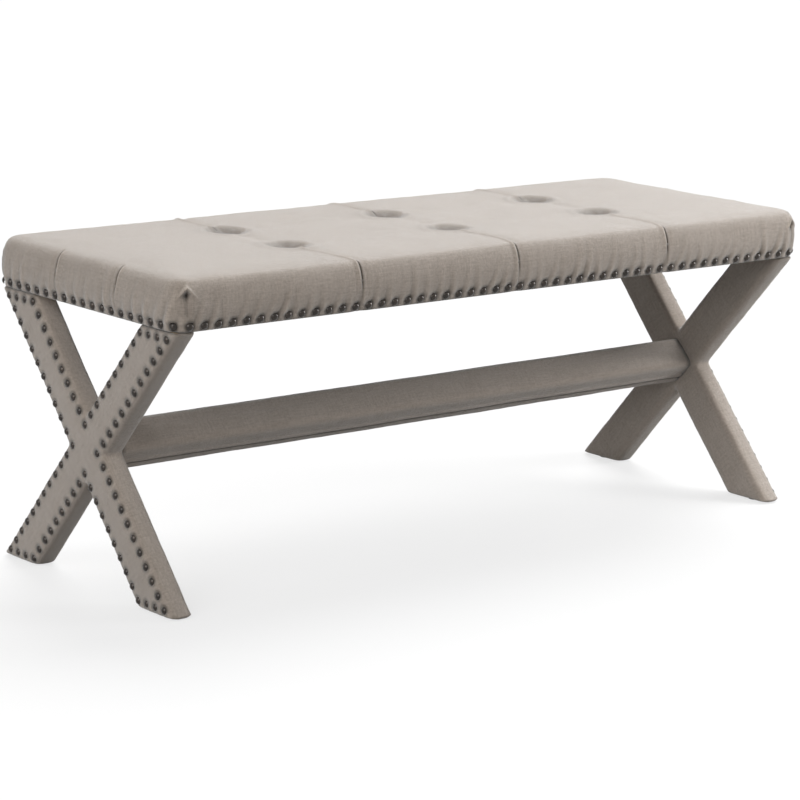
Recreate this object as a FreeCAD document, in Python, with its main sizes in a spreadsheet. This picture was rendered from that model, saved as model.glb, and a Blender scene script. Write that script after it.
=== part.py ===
import FreeCAD, Part
import math
import os
import re

import Sketcher
from FreeCAD import Placement, Rotation, Vector

# An upholstered bench: a slim tufted seat on two X-shaped leg frames, joined by a square rail
# that is turned on its corner. X runs along the seat, the front faces -Y, and the floor is at
# Z = 0 under the middle of the seat.

os.makedirs("parts", exist_ok=True)
doc = FreeCAD.newDocument("Bench")

# Driving sizes in millimetres: name, value, meaning
DRIVING = (
    ("seat_length", "1220", "seat from end to end, over its cover"),
    ("seat_depth", "457", "seat from front to back, over its cover"),
    ("seat_thickness", "77", "seat from its underside to its top"),
    ("seat_corner_radius", "30", "upright corners of the seat"),
    ("seat_edge_radius", "27", "top edges of the seat"),
    ("cover_thickness", "1.2", "upholstery fabric"),
    ("layer_gap", "0.3", "room between two soft layers"),
    ("seat_wadding_thickness", "6", "wadding over the foam"),
    ("hem_width", "48", "fabric turned under the seat"),
    ("rail_height", "32", "all rails of the seat frame"),
    ("rail_width", "24", "front and back rails"),
    ("end_rail_width", "60", "end rails, which carry the leg bolts"),
    ("cross_rail_width", "40", "rails under the deck"),
    ("deck_thickness", "6", "plywood deck"),
    ("tuft_spacing", "305", "between tufts along the seat"),
    ("tuft_row_spacing", "152", "between the two rows of tufts"),
    ("tuft_depth", "12", "how far a tuft is pulled down"),
    ("tuft_dish_radius", "44", "curvature of the hollow round a tuft"),
    ("twine_diameter", "2.4", "tufting twine"),
    ("twine_knot_diameter", "7", "knot under the washer"),
    ("twine_knot_height", "3", "knot under the washer"),
    ("twine_stitch_diameter", "5", "stitch on top of the cover"),
    ("twine_stitch_height", "1", "stitch on top of the cover"),
    ("twine_clearance", "0.3", "round the twine in its holes"),
    ("tuft_washer_diameter", "24", "washer under the deck"),
    ("tuft_washer_thickness", "1.5", "washer under the deck"),
    ("dust_cover_thickness", "0.6", "thin cloth under the seat"),
    ("dust_cover_inset", "12", "its long edges inside the seat's"),
    ("dust_cover_clearance", "3", "its ends inside the leg frames"),
    ("leg_height", "408", "floor to the seat's underside"),
    ("leg_inset", "6", "leg frame inside the seat's front and back"),
    ("bar_end_width", "88", "level width of one bar at its end"),
    ("leg_thickness", "37", "leg frame over its cover"),
    ("leg_setback", "4", "leg frame inside the seat's end"),
    ("leg_edge_radius", "8", "long edges of a covered bar"),
    ("leg_wadding_thickness", "2.2", "wadding on legs and stretcher"),
    ("shadow_gap", "2", "leg cover stops below the seat"),
    ("lap_gap", "0.2", "glue line in the half-lap"),
    ("stretcher_width", "56", "side of the covered square rail"),
    ("stretcher_edge_radius", "9", "long edges of the covered rail"),
    ("glide_diameter", "20", "foot disc"),
    ("glide_height", "3", "foot disc"),
    ("glide_bevel", "0.8", "rim of the foot disc"),
    ("glide_pin_diameter", "3", "pin of the foot"),
    ("glide_pin_length", "14", "pin of the foot"),
    ("nail_head_diameter", "11.6", "domed nail"),
    ("nail_head_height", "3.6", "domed nail"),
    ("nail_shank_diameter", "2", "domed nail"),
    ("nail_shank_length", "14", "domed nail"),
    ("nail_point_length", "3", "domed nail"),
    ("nail_pitch", "24", "largest step aimed at between nails"),
    ("seat_nail_height", "9", "nail row above the seat's underside"),
    ("leg_nail_inset", "9.5", "nail rows inside the edges of a leg"),
    ("bolt_diameter", "8", "leg and stretcher bolts"),
    ("bolt_length", "60", "under the head"),
    ("bolt_head_diameter", "13", "bolt head"),
    ("bolt_head_height", "8", "bolt head"),
    ("washer_diameter", "20", "bolt washer"),
    ("washer_thickness", "1.6", "bolt washer"),
    ("head_room", "0.5", "over a sunk bolt head"),
    ("insert_diameter", "12", "threaded insert"),
    ("insert_length", "22", "threaded insert"),
    ("dowel_diameter", "8", "wooden dowels"),
    ("dowel_length", "40", "wooden dowels"),
    ("dowel_end_room", "1", "beyond a dowel in its hole"),
    ("hole_clearance", "0.15", "round fasteners in their holes"),
    ("rail_dowel_spread", "16", "between the two dowels of a joint"),
    ("leg_fixing_spread", "31", "between a leg's bolt and its dowel"),
    ("stretcher_dowel_spread", "32", "between the stretcher's two dowels"),
    ("screw_diameter", "4", "wood screws"),
    ("screw_head_diameter", "8", "wood screws"),
    ("screw_length", "24", "wood screws"),
    ("deck_screw_inner", "75", "deck screws from the middle"),
    ("deck_screw_outer", "380", "deck screws from the middle"),
    ("inner_screw_row", "60", "deck screws in end and cross rails"),
    ("lap_screw_spread", "44", "between the two screws of a half-lap"),
    ("staple_crown", "10", "staple width"),
    ("staple_leg", "8", "staple legs"),
    ("staple_wire", "0.9", "staple wire"),
    ("staple_pitch", "80", "largest step aimed at between staples"),
    ("staple_inset", "8", "staples inside the dust cover's edge"),
)

# What follows from the driving sizes
WORKED = (
    ("seat_skin", "cover_thickness + seat_wadding_thickness + 2 * layer_gap"),
    ("wood_half_length", "seat_length / 2 - seat_skin"),
    ("wood_half_depth", "seat_depth / 2 - seat_skin"),
    ("rail_low", "leg_height + cover_thickness"),
    ("rail_top", "rail_low + rail_height"),
    ("deck_top", "rail_top + deck_thickness"),
    ("seat_top", "leg_height + seat_thickness"),
    ("tuft_low", "seat_top - tuft_depth"),
    ("dish_centre", "tuft_low + tuft_dish_radius"),
    ("leg_skin", "cover_thickness + leg_wadding_thickness + 2 * layer_gap"),
    ("leg_centre", "seat_length / 2 - leg_setback - leg_thickness / 2"),
    ("leg_wood_thickness", "leg_thickness - 2 * leg_skin"),
    ("leg_wood_low", "glide_height + cover_thickness"),
    ("leg_depth", "seat_depth - 2 * leg_inset"),
    ("half_run", "(leg_depth - bar_end_width) / 2"),
    ("lean_cosine", "leg_height / sqrt(leg_height ^ 2 + (2 * half_run) ^ 2)"),
    ("crossing_height", "leg_height / 2"),
    ("stretcher_half", "leg_centre - leg_thickness / 2"),
    ("bolt_sink", "washer_thickness + bolt_head_height + head_room"),
    ("nail_dome_radius", "(nail_head_diameter ^ 2 / 4 + nail_head_height ^ 2) / (2 * nail_head_height)"),
)

sheet_of = {}


def qualified(text):
    return re.sub(r"[a-z_]+", lambda word: sheet_of.get(word.group(), "") + word.group(), text)


def fill_sheet(sheet, rows, lead=""):
    # One row for each value: its name, then the value under an alias of that name
    for number, row in enumerate(rows, start=1):
        text = lead + qualified(row[1]).replace(sheet.Name + ".", "")
        sheet.set(f"A{number}", row[0])
        sheet.set(f"B{number}", text)
        sheet.setAlias(f"B{number}", row[0])
        sheet_of[row[0]] = sheet.Name + "."
        doc.recompute()


fill_sheet(doc.addObject("Spreadsheet::Sheet", "Sizes"), DRIVING)
fill_sheet(doc.addObject("Spreadsheet::Sheet", "Worked"), WORKED, lead="=")


def size(name):
    return float(doc.getObject(sheet_of[name][:-1]).get(name))


def bind(thing, name, text):
    thing.setExpression(name, qualified(text))


# Shapes made from outlines


def new_body(label):
    body = doc.addObject("PartDesign::Body", label)
    body.Label = label
    return body


def new_sketch(body, role, level="0"):
    plane = [item for item in body.Origin.OriginFeatures if item.Role == role][0]
    sketch = body.newObject("Sketcher::SketchObject", body.Label + "_outline")
    sketch.AttachmentSupport = (plane, "")
    sketch.MapMode = "FlatFace"
    bind(sketch, "AttachmentOffset.Base.z", level)
    return sketch


def worth(sketch, text):
    return float(sketch.evalExpression(qualified(text)))


def point_at(sketch, place):
    return Vector(worth(sketch, place[0]), worth(sketch, place[1]), 0)


def pin_point(sketch, line, end, place):
    # Holds one end of a line at two bound coordinates
    for kind, text in zip(("DistanceX", "DistanceY"), place):
        number = sketch.addConstraint(Sketcher.Constraint(kind, -1, 1, line, end, worth(sketch, text)))
        bind(sketch, f"Constraints[{number}]", text)


def draw_outline(sketch, corners):
    # A closed outline of straight lines, each corner at bound coordinates
    points = [point_at(sketch, place) for place in corners]
    count = len(points)
    for k in range(count):
        sketch.addGeometry(Part.LineSegment(points[k], points[(k + 1) % count]), False)
    for k in range(count):
        sketch.addConstraint(Sketcher.Constraint("Coincident", k, 2, (k + 1) % count, 1))
    for k, place in enumerate(corners):
        pin_point(sketch, k, 1, place)


def round_edges(body, label, radius, wanted):
    # Rounds the edges of the body's last shape for which wanted(edge) holds
    doc.recompute()
    base = body.Tip
    names = [f"Edge{k}" for k, edge in enumerate(base.Shape.Edges, start=1) if wanted(edge)]
    rounding = body.newObject("PartDesign::Fillet", label)
    rounding.Base = (base, names)
    bind(rounding, "Radius", radius)
    return rounding


def span(edge, axis):
    # How far an edge reaches along X, Y or Z
    box = edge.BoundBox
    return (box.XLength, box.YLength, box.ZLength)[axis]


def padded_outline(label, role, corners, length, level="0", symmetric=False):
    body = new_body(label)
    sketch = new_sketch(body, role, level)
    draw_outline(sketch, corners)
    pad = body.newObject("PartDesign::Pad", label + "_pad")
    pad.Profile = sketch
    pad.Midplane = symmetric
    bind(pad, "Length", length)
    return body


def turned(label, corners):
    # A turned piece: its half outline, as radius and height, spun about Z
    body = new_body(label)
    sketch = new_sketch(body, "XZ_Plane")
    draw_outline(sketch, corners)
    spin = body.newObject("PartDesign::Revolution", label + "_spin")
    spin.Profile = sketch
    spin.ReferenceAxis = (sketch, ["V_Axis"])
    spin.Angle = 360
    return body


def rectangle(half_x, half_y):
    return [
        (f"-({half_x})", f"-({half_y})"),
        (half_x, f"-({half_y})"),
        (half_x, half_y),
        (f"-({half_x})", half_y),
    ]


def box_between(label, low, high):
    # A plain block from its low corner to its high corner
    block = doc.addObject("Part::Box", label)
    block.Label = label
    for axis, side, first, last in zip("xyz", ("Length", "Width", "Height"), low, high):
        bind(block, side, f"({last}) - ({first})")
        bind(block, f"Placement.Base.{axis}", first)
    return block


def cut(label, base, tool):
    result = doc.addObject("Part::Cut", label)
    result.Label = label
    result.Base = base
    result.Tool = tool
    doc.recompute()
    if result.Shape.Volume >= base.Shape.Volume:
        raise ValueError(f"{label}: nothing was cut")
    return result


def fuse(label, first, second):
    result = doc.addObject("Part::Fuse", label)
    result.Label = label
    result.Base = first
    result.Tool = second
    return result


def mirrored(label, source):
    # The right-hand piece: the left-hand one across the plane X = 0
    result = doc.addObject("Part::Mirroring", label)
    result.Label = label
    result.Source = source
    result.Normal = Vector(1, 0, 0)
    result.Base = Vector(0, 0, 0)
    return result


# Groups of identical pieces, and the holes for them

OUTWARD = {"-x": Vector(-1, 0, 0), "+x": Vector(1, 0, 0), "+y": Vector(0, 1, 0), "+z": Vector(0, 0, 1)}


def stood(x, y, z, outward):
    # A place whose own Z points outward
    return Placement(Vector(x, y, z), Rotation(Vector(0, 0, 1), outward))


def group(label, master, places):
    doc.recompute()
    shapes = []
    for place in places:
        shape = master.Shape.copy()
        shape.Placement = place.multiply(shape.Placement)
        shapes.append(shape)
    result = doc.addObject("Part::Feature", label)
    result.Label = label
    result.Shape = Part.makeCompound(shapes)
    return result


def rod_outline(radius, low, high):
    return [("0", low), (radius, low), (radius, high), ("0", high)]


def ring_outline(inner, outer, low, high):
    return [(inner, low), (outer, low), (outer, high), (inner, high)]


# Fastener masters, each standing on Z with its head up

SHANK = "bolt_diameter / 2"
SHANK_HOLE = "bolt_diameter / 2 + hole_clearance"
WASHER_HOLE = "washer_diameter / 2 + 2 * hole_clearance"

bolt = turned("bolt_master", [
    ("0", "-bolt_length"), (SHANK, "-bolt_length"), (SHANK, "0"), ("bolt_head_diameter / 2", "0"),
    ("bolt_head_diameter / 2", "bolt_head_height"), ("0", "bolt_head_height"),
])
bolt_hole = turned("bolt_hole_master", [
    ("0", "-bolt_length - dowel_end_room"), (SHANK_HOLE, "-bolt_length - dowel_end_room"),
    (SHANK_HOLE, "-washer_thickness"), (WASHER_HOLE, "-washer_thickness"),
    (WASHER_HOLE, "bolt_head_height + head_room + leg_skin"),
    ("0", "bolt_head_height + head_room + leg_skin"),
])
bolt_neck_hole = turned("bolt_neck_hole_master", rod_outline(SHANK_HOLE, "-bolt_length", "0"))
washer = turned("washer_master", ring_outline(SHANK_HOLE, "washer_diameter / 2", "0", "washer_thickness"))
insert = turned("insert_master", ring_outline(SHANK_HOLE, "insert_diameter / 2", "-insert_length", "0"))
insert_hole = turned("insert_hole_master", rod_outline(
    "insert_diameter / 2 + hole_clearance", "-insert_length - hole_clearance", "head_room"))
dowel = turned("dowel_master", rod_outline("dowel_diameter / 2", "-dowel_length / 2", "dowel_length / 2"))
dowel_hole = turned("dowel_hole_master", rod_outline(
    "dowel_diameter / 2 + hole_clearance",
    "-dowel_length / 2 - dowel_end_room", "dowel_length / 2 + dowel_end_room"))

SCREW_HEAD_HEIGHT = "(screw_head_diameter - screw_diameter) / 2"
screw = turned("screw_master", [
    ("0", "-screw_length"), ("screw_diameter / 2", "-screw_length + screw_diameter"),
    ("screw_diameter / 2", f"-{SCREW_HEAD_HEIGHT}"), ("screw_head_diameter / 2", "0"), ("0", "0"),
])
screw_hole = turned("screw_hole_master", [
    ("0", "-screw_length - dowel_end_room"),
    ("screw_diameter / 2 + hole_clearance", "-screw_length - dowel_end_room"),
    ("screw_diameter / 2 + hole_clearance", f"-{SCREW_HEAD_HEIGHT} - hole_clearance"),
    ("screw_head_diameter / 2 + hole_clearance", "0"),
    ("screw_head_diameter / 2 + hole_clearance", "head_room"), ("0", "head_room"),
])

glide = turned("glide_master", [
    ("0", "-glide_height"), ("glide_diameter / 2 - glide_bevel", "-glide_height"),
    ("glide_diameter / 2", "glide_bevel - glide_height"), ("glide_diameter / 2", "0"),
    ("glide_pin_diameter / 2", "0"), ("glide_pin_diameter / 2", "glide_pin_length - glide_pin_diameter"),
    ("0", "glide_pin_length"),
])
glide_hole = turned("glide_hole_master", rod_outline(
    "glide_pin_diameter / 2 + hole_clearance", "-head_room", "glide_pin_length + dowel_end_room"))

TWINE = "twine_diameter / 2"
STITCH = "twine_stitch_diameter / 2"
KNOT = "twine_knot_diameter / 2"
WASHER_LOW = "rail_top - tuft_washer_thickness"
twine = turned("twine_master", [
    ("0", f"{WASHER_LOW} - twine_knot_height"), (KNOT, f"{WASHER_LOW} - twine_knot_height"),
    (KNOT, WASHER_LOW), (TWINE, WASHER_LOW), (TWINE, "tuft_low"), (STITCH, "tuft_low"),
    (STITCH, "tuft_low + twine_stitch_height"),
    ("0", "tuft_low + twine_stitch_height"),
])
twine_hole = turned("twine_hole_master", rod_outline(
    "twine_diameter / 2 + twine_clearance", "rail_top - dowel_end_room", "seat_top"))
tuft_washer = turned("tuft_washer_master", ring_outline(
    "twine_diameter / 2 + twine_clearance", "tuft_washer_diameter / 2", WASHER_LOW, "rail_top"))


def nail_shape():
    # A round dome on a pointed shank, its underside at Z = 0
    body = new_body("nail_master")
    sketch = new_sketch(body, "XZ_Plane")
    places = [("0", "nail_head_height"), ("0", "-nail_shank_length"),
              ("nail_shank_diameter / 2", "nail_point_length - nail_shank_length"),
              ("nail_shank_diameter / 2", "0"), ("nail_head_diameter / 2", "0")]
    points = [point_at(sketch, place) for place in places]
    for first, last in zip(points, points[1:]):
        sketch.addGeometry(Part.LineSegment(first, last), False)
    radius = size("nail_dome_radius")
    centre = points[0] - Vector(0, radius, 0)
    start = math.atan2(-centre.y, points[4].x)
    circle = Part.Circle(centre, Vector(0, 0, 1), radius)
    sketch.addGeometry(Part.ArcOfCircle(circle, start, math.pi / 2), False)
    for k in range(3):
        sketch.addConstraint(Sketcher.Constraint("Coincident", k, 2, k + 1, 1))
    sketch.addConstraint(Sketcher.Constraint("Coincident", 3, 2, 4, 1))
    sketch.addConstraint(Sketcher.Constraint("Coincident", 4, 2, 0, 1))
    for k, place in enumerate(places[:4]):
        pin_point(sketch, k, 1, place)
    pin_point(sketch, 3, 2, places[4])
    dome = sketch.addConstraint(Sketcher.Constraint("Radius", 4, radius))
    bind(sketch, f"Constraints[{dome}]", "nail_dome_radius")
    spin = body.newObject("PartDesign::Revolution", "nail_spin")
    spin.Profile = sketch
    spin.ReferenceAxis = (sketch, ["V_Axis"])
    spin.Angle = 360
    return body


nail = nail_shape()


def staple_shape():
    body = padded_outline("staple_master", "XZ_Plane", [
        ("-staple_crown / 2", "-staple_wire"), ("staple_crown / 2", "-staple_wire"),
        ("staple_crown / 2", "staple_leg"), ("staple_crown / 2 - staple_wire", "staple_leg"),
        ("staple_crown / 2 - staple_wire", "0"), ("staple_wire - staple_crown / 2", "0"),
        ("staple_wire - staple_crown / 2", "staple_leg"), ("-staple_crown / 2", "staple_leg"),
    ], "staple_wire", symmetric=True)
    return body


staple = staple_shape()

# Where the fasteners go

BOTH = (-1, 1)
NEAR = 0.01
RAIL_MIDDLE = size("rail_low") + size("rail_height") / 2
cross_rail_x = size("tuft_spacing") / 2
tufts = [(column * size("tuft_spacing"), row * size("tuft_row_spacing") / 2)
         for column in (-1, 0, 1) for row in BOTH]


def bar_middle(height):
    # How far a bar's middle line lies from the frame's middle at a height, towards its upper end
    return size("half_run") * (2 * height / size("leg_height") - 1)


rail_dowel_places = []
for sx in BOTH:
    for sy in BOTH:
        for side in BOTH:
            shift = side * size("rail_dowel_spread") / 2
            joint_x = sx * (size("wood_half_length") - size("end_rail_width"))
            joint_y = sy * (size("wood_half_depth") - size("rail_width"))
            rail_y = sy * (size("wood_half_depth") - size("rail_width") / 2)
            rail_dowel_places.append(stood(joint_x, rail_y, RAIL_MIDDLE + shift, OUTWARD["+x"]))
            rail_dowel_places.append(stood(sx * cross_rail_x + shift, joint_y, RAIL_MIDDLE, OUTWARD["+y"]))

deck_screw_spots = []
for sx in BOTH:
    for sy in BOTH:
        rail_y = sy * (size("wood_half_depth") - size("rail_width") / 2)
        inner_y = sy * size("inner_screw_row")
        end_x = size("wood_half_length") - size("end_rail_width") * 3 / 4
        deck_screw_spots += [
            (sx * size("deck_screw_inner"), rail_y), (sx * size("deck_screw_outer"), rail_y),
            (sx * cross_rail_x, inner_y), (sx * end_x, inner_y),
        ]
deck_screw_places = [stood(x, y, size("deck_top"), OUTWARD["+z"]) for x, y in deck_screw_spots]
tuft_places = [Placement(Vector(x, y, 0), Rotation()) for x, y in tufts]

# A leg's bolt and dowel stand side by side where the leaning bar has wood down to the end of the insert
fixing_middle = bar_middle(size("leg_height") - size("insert_length") / 2)
bolt_y = fixing_middle - size("leg_fixing_spread") / 2
dowel_y = fixing_middle + size("leg_fixing_spread") / 2
leg_spots = [(sx * size("leg_centre"), sy) for sx in BOTH for sy in BOTH]
bolt_seat = size("rail_top") - size("bolt_sink")
leg_washer_places = [stood(x, sy * bolt_y, bolt_seat, OUTWARD["+z"]) for x, sy in leg_spots]
bolt_level = bolt_seat + size("washer_thickness")
leg_bolt_places = [stood(x, sy * bolt_y, bolt_level, OUTWARD["+z"]) for x, sy in leg_spots]
leg_insert_places = [stood(x, sy * bolt_y, size("leg_height"), OUTWARD["+z"]) for x, sy in leg_spots]
leg_dowel_places = [stood(x, sy * dowel_y, size("leg_height"), OUTWARD["+z"]) for x, sy in leg_spots]
glide_places = [stood(x, sy * size("half_run"), size("glide_height"), OUTWARD["+z"]) for x, sy in leg_spots]

# At a crossing the pieces lie along X, with their heads on the outside
ENDS = {-1: OUTWARD["-x"], 1: OUTWARD["+x"]}
crossing_z = size("crossing_height")
leg_wood_outer = size("leg_centre") + size("leg_wood_thickness") / 2
leg_wood_inner = size("leg_centre") - size("leg_wood_thickness") / 2
cross_seat = leg_wood_outer - size("bolt_sink")
cross_washer_places = [stood(sx * cross_seat, 0, crossing_z, ENDS[sx]) for sx in BOTH]
cross_level = cross_seat + size("washer_thickness")
cross_bolt_places = [stood(sx * cross_level, 0, crossing_z, ENDS[sx]) for sx in BOTH]
cross_insert_places = [stood(sx * size("stretcher_half"), 0, crossing_z, ENDS[sx]) for sx in BOTH]
cross_dowel_middle = (leg_wood_inner + size("stretcher_half")) / 2
cross_dowel_places = [
    stood(sx * cross_dowel_middle, 0, crossing_z + side * size("stretcher_dowel_spread") / 2, ENDS[sx])
    for sx in BOTH for side in BOTH
]
lap_screw_places = [
    stood(sx * leg_wood_outer, side * size("lap_screw_spread") / 2, crossing_z, ENDS[sx])
    for sx in BOTH for side in BOTH
]

rail_dowel_holes = group("rail_dowel_holes", dowel_hole, rail_dowel_places)
deck_screw_holes = group("deck_screw_holes", screw_hole, deck_screw_places)
twine_holes = group("twine_holes", twine_hole, tuft_places)
leg_bolt_holes = group("leg_bolt_holes", bolt_hole, leg_bolt_places)
leg_insert_holes = group("leg_insert_holes", insert_hole, leg_insert_places)
leg_dowel_holes = group("leg_dowel_holes", dowel_hole, leg_dowel_places)
glide_holes = group("glide_holes", glide_hole, glide_places)
cross_bolt_holes = group("cross_bolt_holes", bolt_hole, cross_bolt_places)
cross_neck_holes = group("cross_neck_holes", bolt_neck_hole, cross_bolt_places)
cross_insert_holes = group("cross_insert_holes", insert_hole, cross_insert_places)
cross_dowel_holes = group("cross_dowel_holes", dowel_hole, cross_dowel_places)
lap_screw_holes = group("lap_screw_holes", screw_hole, lap_screw_places)


def hole_set(label, *groups):
    result = doc.addObject("Part::Compound", label)
    result.Links = list(groups)
    return result


frame_holes = hole_set("frame_holes", rail_dowel_holes, deck_screw_holes, leg_bolt_holes, leg_dowel_holes)
hem_holes = hole_set("hem_holes", leg_bolt_holes, leg_dowel_holes)
deck_holes = hole_set("deck_holes", deck_screw_holes, twine_holes)
leg_holes = hole_set("leg_holes", leg_bolt_holes, leg_insert_holes, leg_dowel_holes, glide_holes,
                     cross_bolt_holes, cross_dowel_holes, lap_screw_holes)
leg_skin_holes = hole_set("leg_skin_holes", glide_holes, cross_neck_holes, cross_dowel_holes)
stretcher_holes = hole_set("stretcher_holes", cross_neck_holes, cross_insert_holes, cross_dowel_holes)

nodes = []


def keep(item):
    nodes.append(item)
    return item


# Seat frame

WOOD_X = "wood_half_length"
WOOD_Y = "wood_half_depth"
END_INNER = "wood_half_length - end_rail_width"
RAIL_INNER = "wood_half_depth - rail_width"
WOOD_CORNER = "max(seat_corner_radius - seat_skin; 1)"

front_blank = box_between("front_rail_blank", (f"-({END_INNER})", f"-{WOOD_Y}", "rail_low"),
                          (END_INNER, f"-({RAIL_INNER})", "rail_top"))
keep(cut("front_rail", front_blank, frame_holes))
back_blank = box_between("back_rail_blank", (f"-({END_INNER})", RAIL_INNER, "rail_low"),
                         (END_INNER, WOOD_Y, "rail_top"))
keep(cut("back_rail", back_blank, frame_holes))

end_blank = padded_outline("left_end_rail_blank", "XY_Plane", [
    (f"-{WOOD_X}", f"-{WOOD_Y}"), (f"-({END_INNER})", f"-{WOOD_Y}"), (f"-({END_INNER})", WOOD_Y),
    (f"-{WOOD_X}", WOOD_Y),
], "rail_height", level="rail_low")
round_edges(end_blank, "left_end_rail_corners", WOOD_CORNER,
            lambda edge: span(edge, 2) > 1 and edge.CenterOfMass.x < 1 - size("wood_half_length"))
left_end_rail = keep(cut("left_end_rail", end_blank, frame_holes))
keep(mirrored("right_end_rail", left_end_rail))

cross_blank = box_between(
    "left_cross_rail_blank", ("-tuft_spacing / 2 - cross_rail_width / 2", f"-({RAIL_INNER})", "rail_low"),
    ("-tuft_spacing / 2 + cross_rail_width / 2", RAIL_INNER, "rail_top"))
left_cross_rail = keep(cut("left_cross_rail", cross_blank, frame_holes))
keep(mirrored("right_cross_rail", left_cross_rail))

deck_blank = padded_outline("seat_deck_blank", "XY_Plane", rectangle(WOOD_X, WOOD_Y), "deck_thickness",
                            level="rail_top")
round_edges(deck_blank, "seat_deck_corners", WOOD_CORNER, lambda edge: span(edge, 2) > 1)
keep(cut("seat_deck", deck_blank, deck_holes))

# Soft layers of the seat, each one rounded block inside the next, hollowed round the tufts.
# An inner layer keeps at least a small radius where its cover's radius is less than its inset.

LEAST_RADIUS = 0.5


def seat_block(label, inset, low):
    outline = rectangle(f"seat_length / 2 - ({inset})", f"seat_depth / 2 - ({inset})")
    body = padded_outline(label, "XY_Plane", outline, f"seat_top - ({inset}) - ({low})", level=low)
    round_edges(body, label + "_corners", f"max(seat_corner_radius - ({inset}); 1)",
                lambda edge: span(edge, 2) > 1)
    doc.recompute()
    top = body.Shape.BoundBox.ZMax
    round_edges(body, label + "_edges",
                f"max(min(seat_edge_radius; seat_corner_radius - 1) - ({inset}); {LEAST_RADIUS})",
                lambda edge: edge.BoundBox.ZMin > top - NEAR)
    dish = doc.addObject("Part::Sphere", label + "_dish")
    bind(dish, "Radius", f"tuft_dish_radius + ({inset})")
    bind(dish, "Placement.Base.z", "dish_centre")
    dishes = group(label + "_dishes", dish, tuft_places)
    return cut(label + "_dished", body, dishes)


COVER_IN = "cover_thickness"
WADDING_OUT = "cover_thickness + layer_gap"
WADDING_IN = "cover_thickness + layer_gap + seat_wadding_thickness"

foam = seat_block("foam_block", "seat_skin", "deck_top")
keep(cut("foam_pad", foam, twine_holes))

wadding_outer = seat_block("seat_wadding_outside", WADDING_OUT, "rail_low + layer_gap")
wadding_inner = seat_block("seat_wadding_inside", WADDING_IN, "leg_height")
wadding_shell = cut("seat_wadding_shell", wadding_outer, wadding_inner)
keep(cut("seat_wadding", wadding_shell, twine_holes))

cover_outer = seat_block("seat_cover_outside", "0", "leg_height")
cover_inner = seat_block("seat_cover_inside", COVER_IN, "rail_low")
cover_shell = cut("seat_cover_shell", cover_outer, cover_inner)
hem_opening = box_between(
    "hem_opening",
    ("hem_width - seat_length / 2", "hem_width - seat_depth / 2", "leg_height - cover_thickness"),
    ("seat_length / 2 - hem_width", "seat_depth / 2 - hem_width", "rail_low + cover_thickness"))
cover_hemmed = cut("seat_cover_hemmed", cover_shell, hem_opening)
cover_bored = cut("seat_cover_bored", cover_hemmed, hem_holes)
keep(cut("seat_cover", cover_bored, twine_holes))

DUST_X = "stretcher_half - dust_cover_clearance"
DUST_Y = "seat_depth / 2 - dust_cover_inset"
keep(box_between("dust_cover", (f"-({DUST_X})", f"-({DUST_Y})", "leg_height - dust_cover_thickness"),
                 (DUST_X, DUST_Y, "leg_height")))

# Leg frames: two bars half-lapped in one plane, then wadding, then the cover


def bar_corners(lean, inset, low, high):
    # A leaning bar in the YZ plane; lean is 1 where its upper end is at the back, -1 where it is at the front
    half = f"(bar_end_width / 2 - ({inset}) / lean_cosine)"
    places = []
    for height, side in ((low, -1), (low, 1), (high, 1), (high, -1)):
        middle = f"{lean} * half_run * (2 * ({height}) / leg_height - 1)"
        places.append((f"{middle} + ({side}) * {half}", height))
    return places


def leg_bar(label, lean, inset, low, high, thickness, radius):
    body = padded_outline(label, "YZ_Plane", bar_corners(lean, inset, low, high), thickness, symmetric=True)
    bind(body, "Placement.Base.x", "-leg_centre")
    round_edges(body, label + "_edges", f"max({radius}; {LEAST_RADIUS})",
                lambda edge: span(edge, 2) > size("leg_height") / 2)
    return body


def crossed_bars(label, inset, low, high):
    thickness = f"leg_thickness - 2 * ({inset})"
    radius = f"leg_edge_radius - ({inset})"
    bars = [leg_bar(f"{label}_{way}", lean, inset, low, high, thickness, radius)
            for way, lean in (("forward", -1), ("backward", 1))]
    return fuse(label, *bars)


NOTCHED_SHARE = 0.98


def half_lap(body, label, lean, reversed_cut):
    # Takes away half the thickness where the other bar crosses
    doc.recompute()
    before = body.Shape.Volume
    sketch = new_sketch(body, "YZ_Plane")
    draw_outline(sketch, bar_corners(-lean, "leg_skin - lap_gap", "leg_wood_low", "leg_height"))
    pocket = body.newObject("PartDesign::Pocket", label + "_lap")
    pocket.Profile = sketch
    pocket.Reversed = reversed_cut
    bind(pocket, "Length", "leg_thickness")
    doc.recompute()
    if body.Shape.Volume > before * NOTCHED_SHARE:
        raise ValueError(f"{label}: the half-lap cut nothing")


for way, lean, reversed_cut in (("forward", -1, False), ("backward", 1, True)):
    label = f"left_{way}_bar"
    blank = leg_bar(label + "_blank", lean, "leg_skin", "leg_wood_low", "leg_height", "leg_wood_thickness",
                    "leg_edge_radius - leg_skin")
    half_lap(blank, label, lean, reversed_cut)
    bar = keep(cut(label, blank, leg_holes))
    keep(mirrored(f"right_{way}_bar", bar))

LEG_WADDING_OUT = "cover_thickness + layer_gap"
LEG_WADDING_IN = "cover_thickness + layer_gap + leg_wadding_thickness"
COVER_TOP = "leg_height - shadow_gap"

wadding_outer = crossed_bars("leg_wadding_outside", LEG_WADDING_OUT, "leg_wood_low + layer_gap",
                             "leg_height - shadow_gap - layer_gap")
wadding_inner = crossed_bars("leg_wadding_inside", LEG_WADDING_IN, "0", "leg_height + shadow_gap")
wadding_shell = cut("leg_wadding_shell", wadding_outer, wadding_inner)
left_leg_wadding = keep(cut("left_leg_wadding", wadding_shell, leg_skin_holes))
keep(mirrored("right_leg_wadding", left_leg_wadding))

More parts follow.
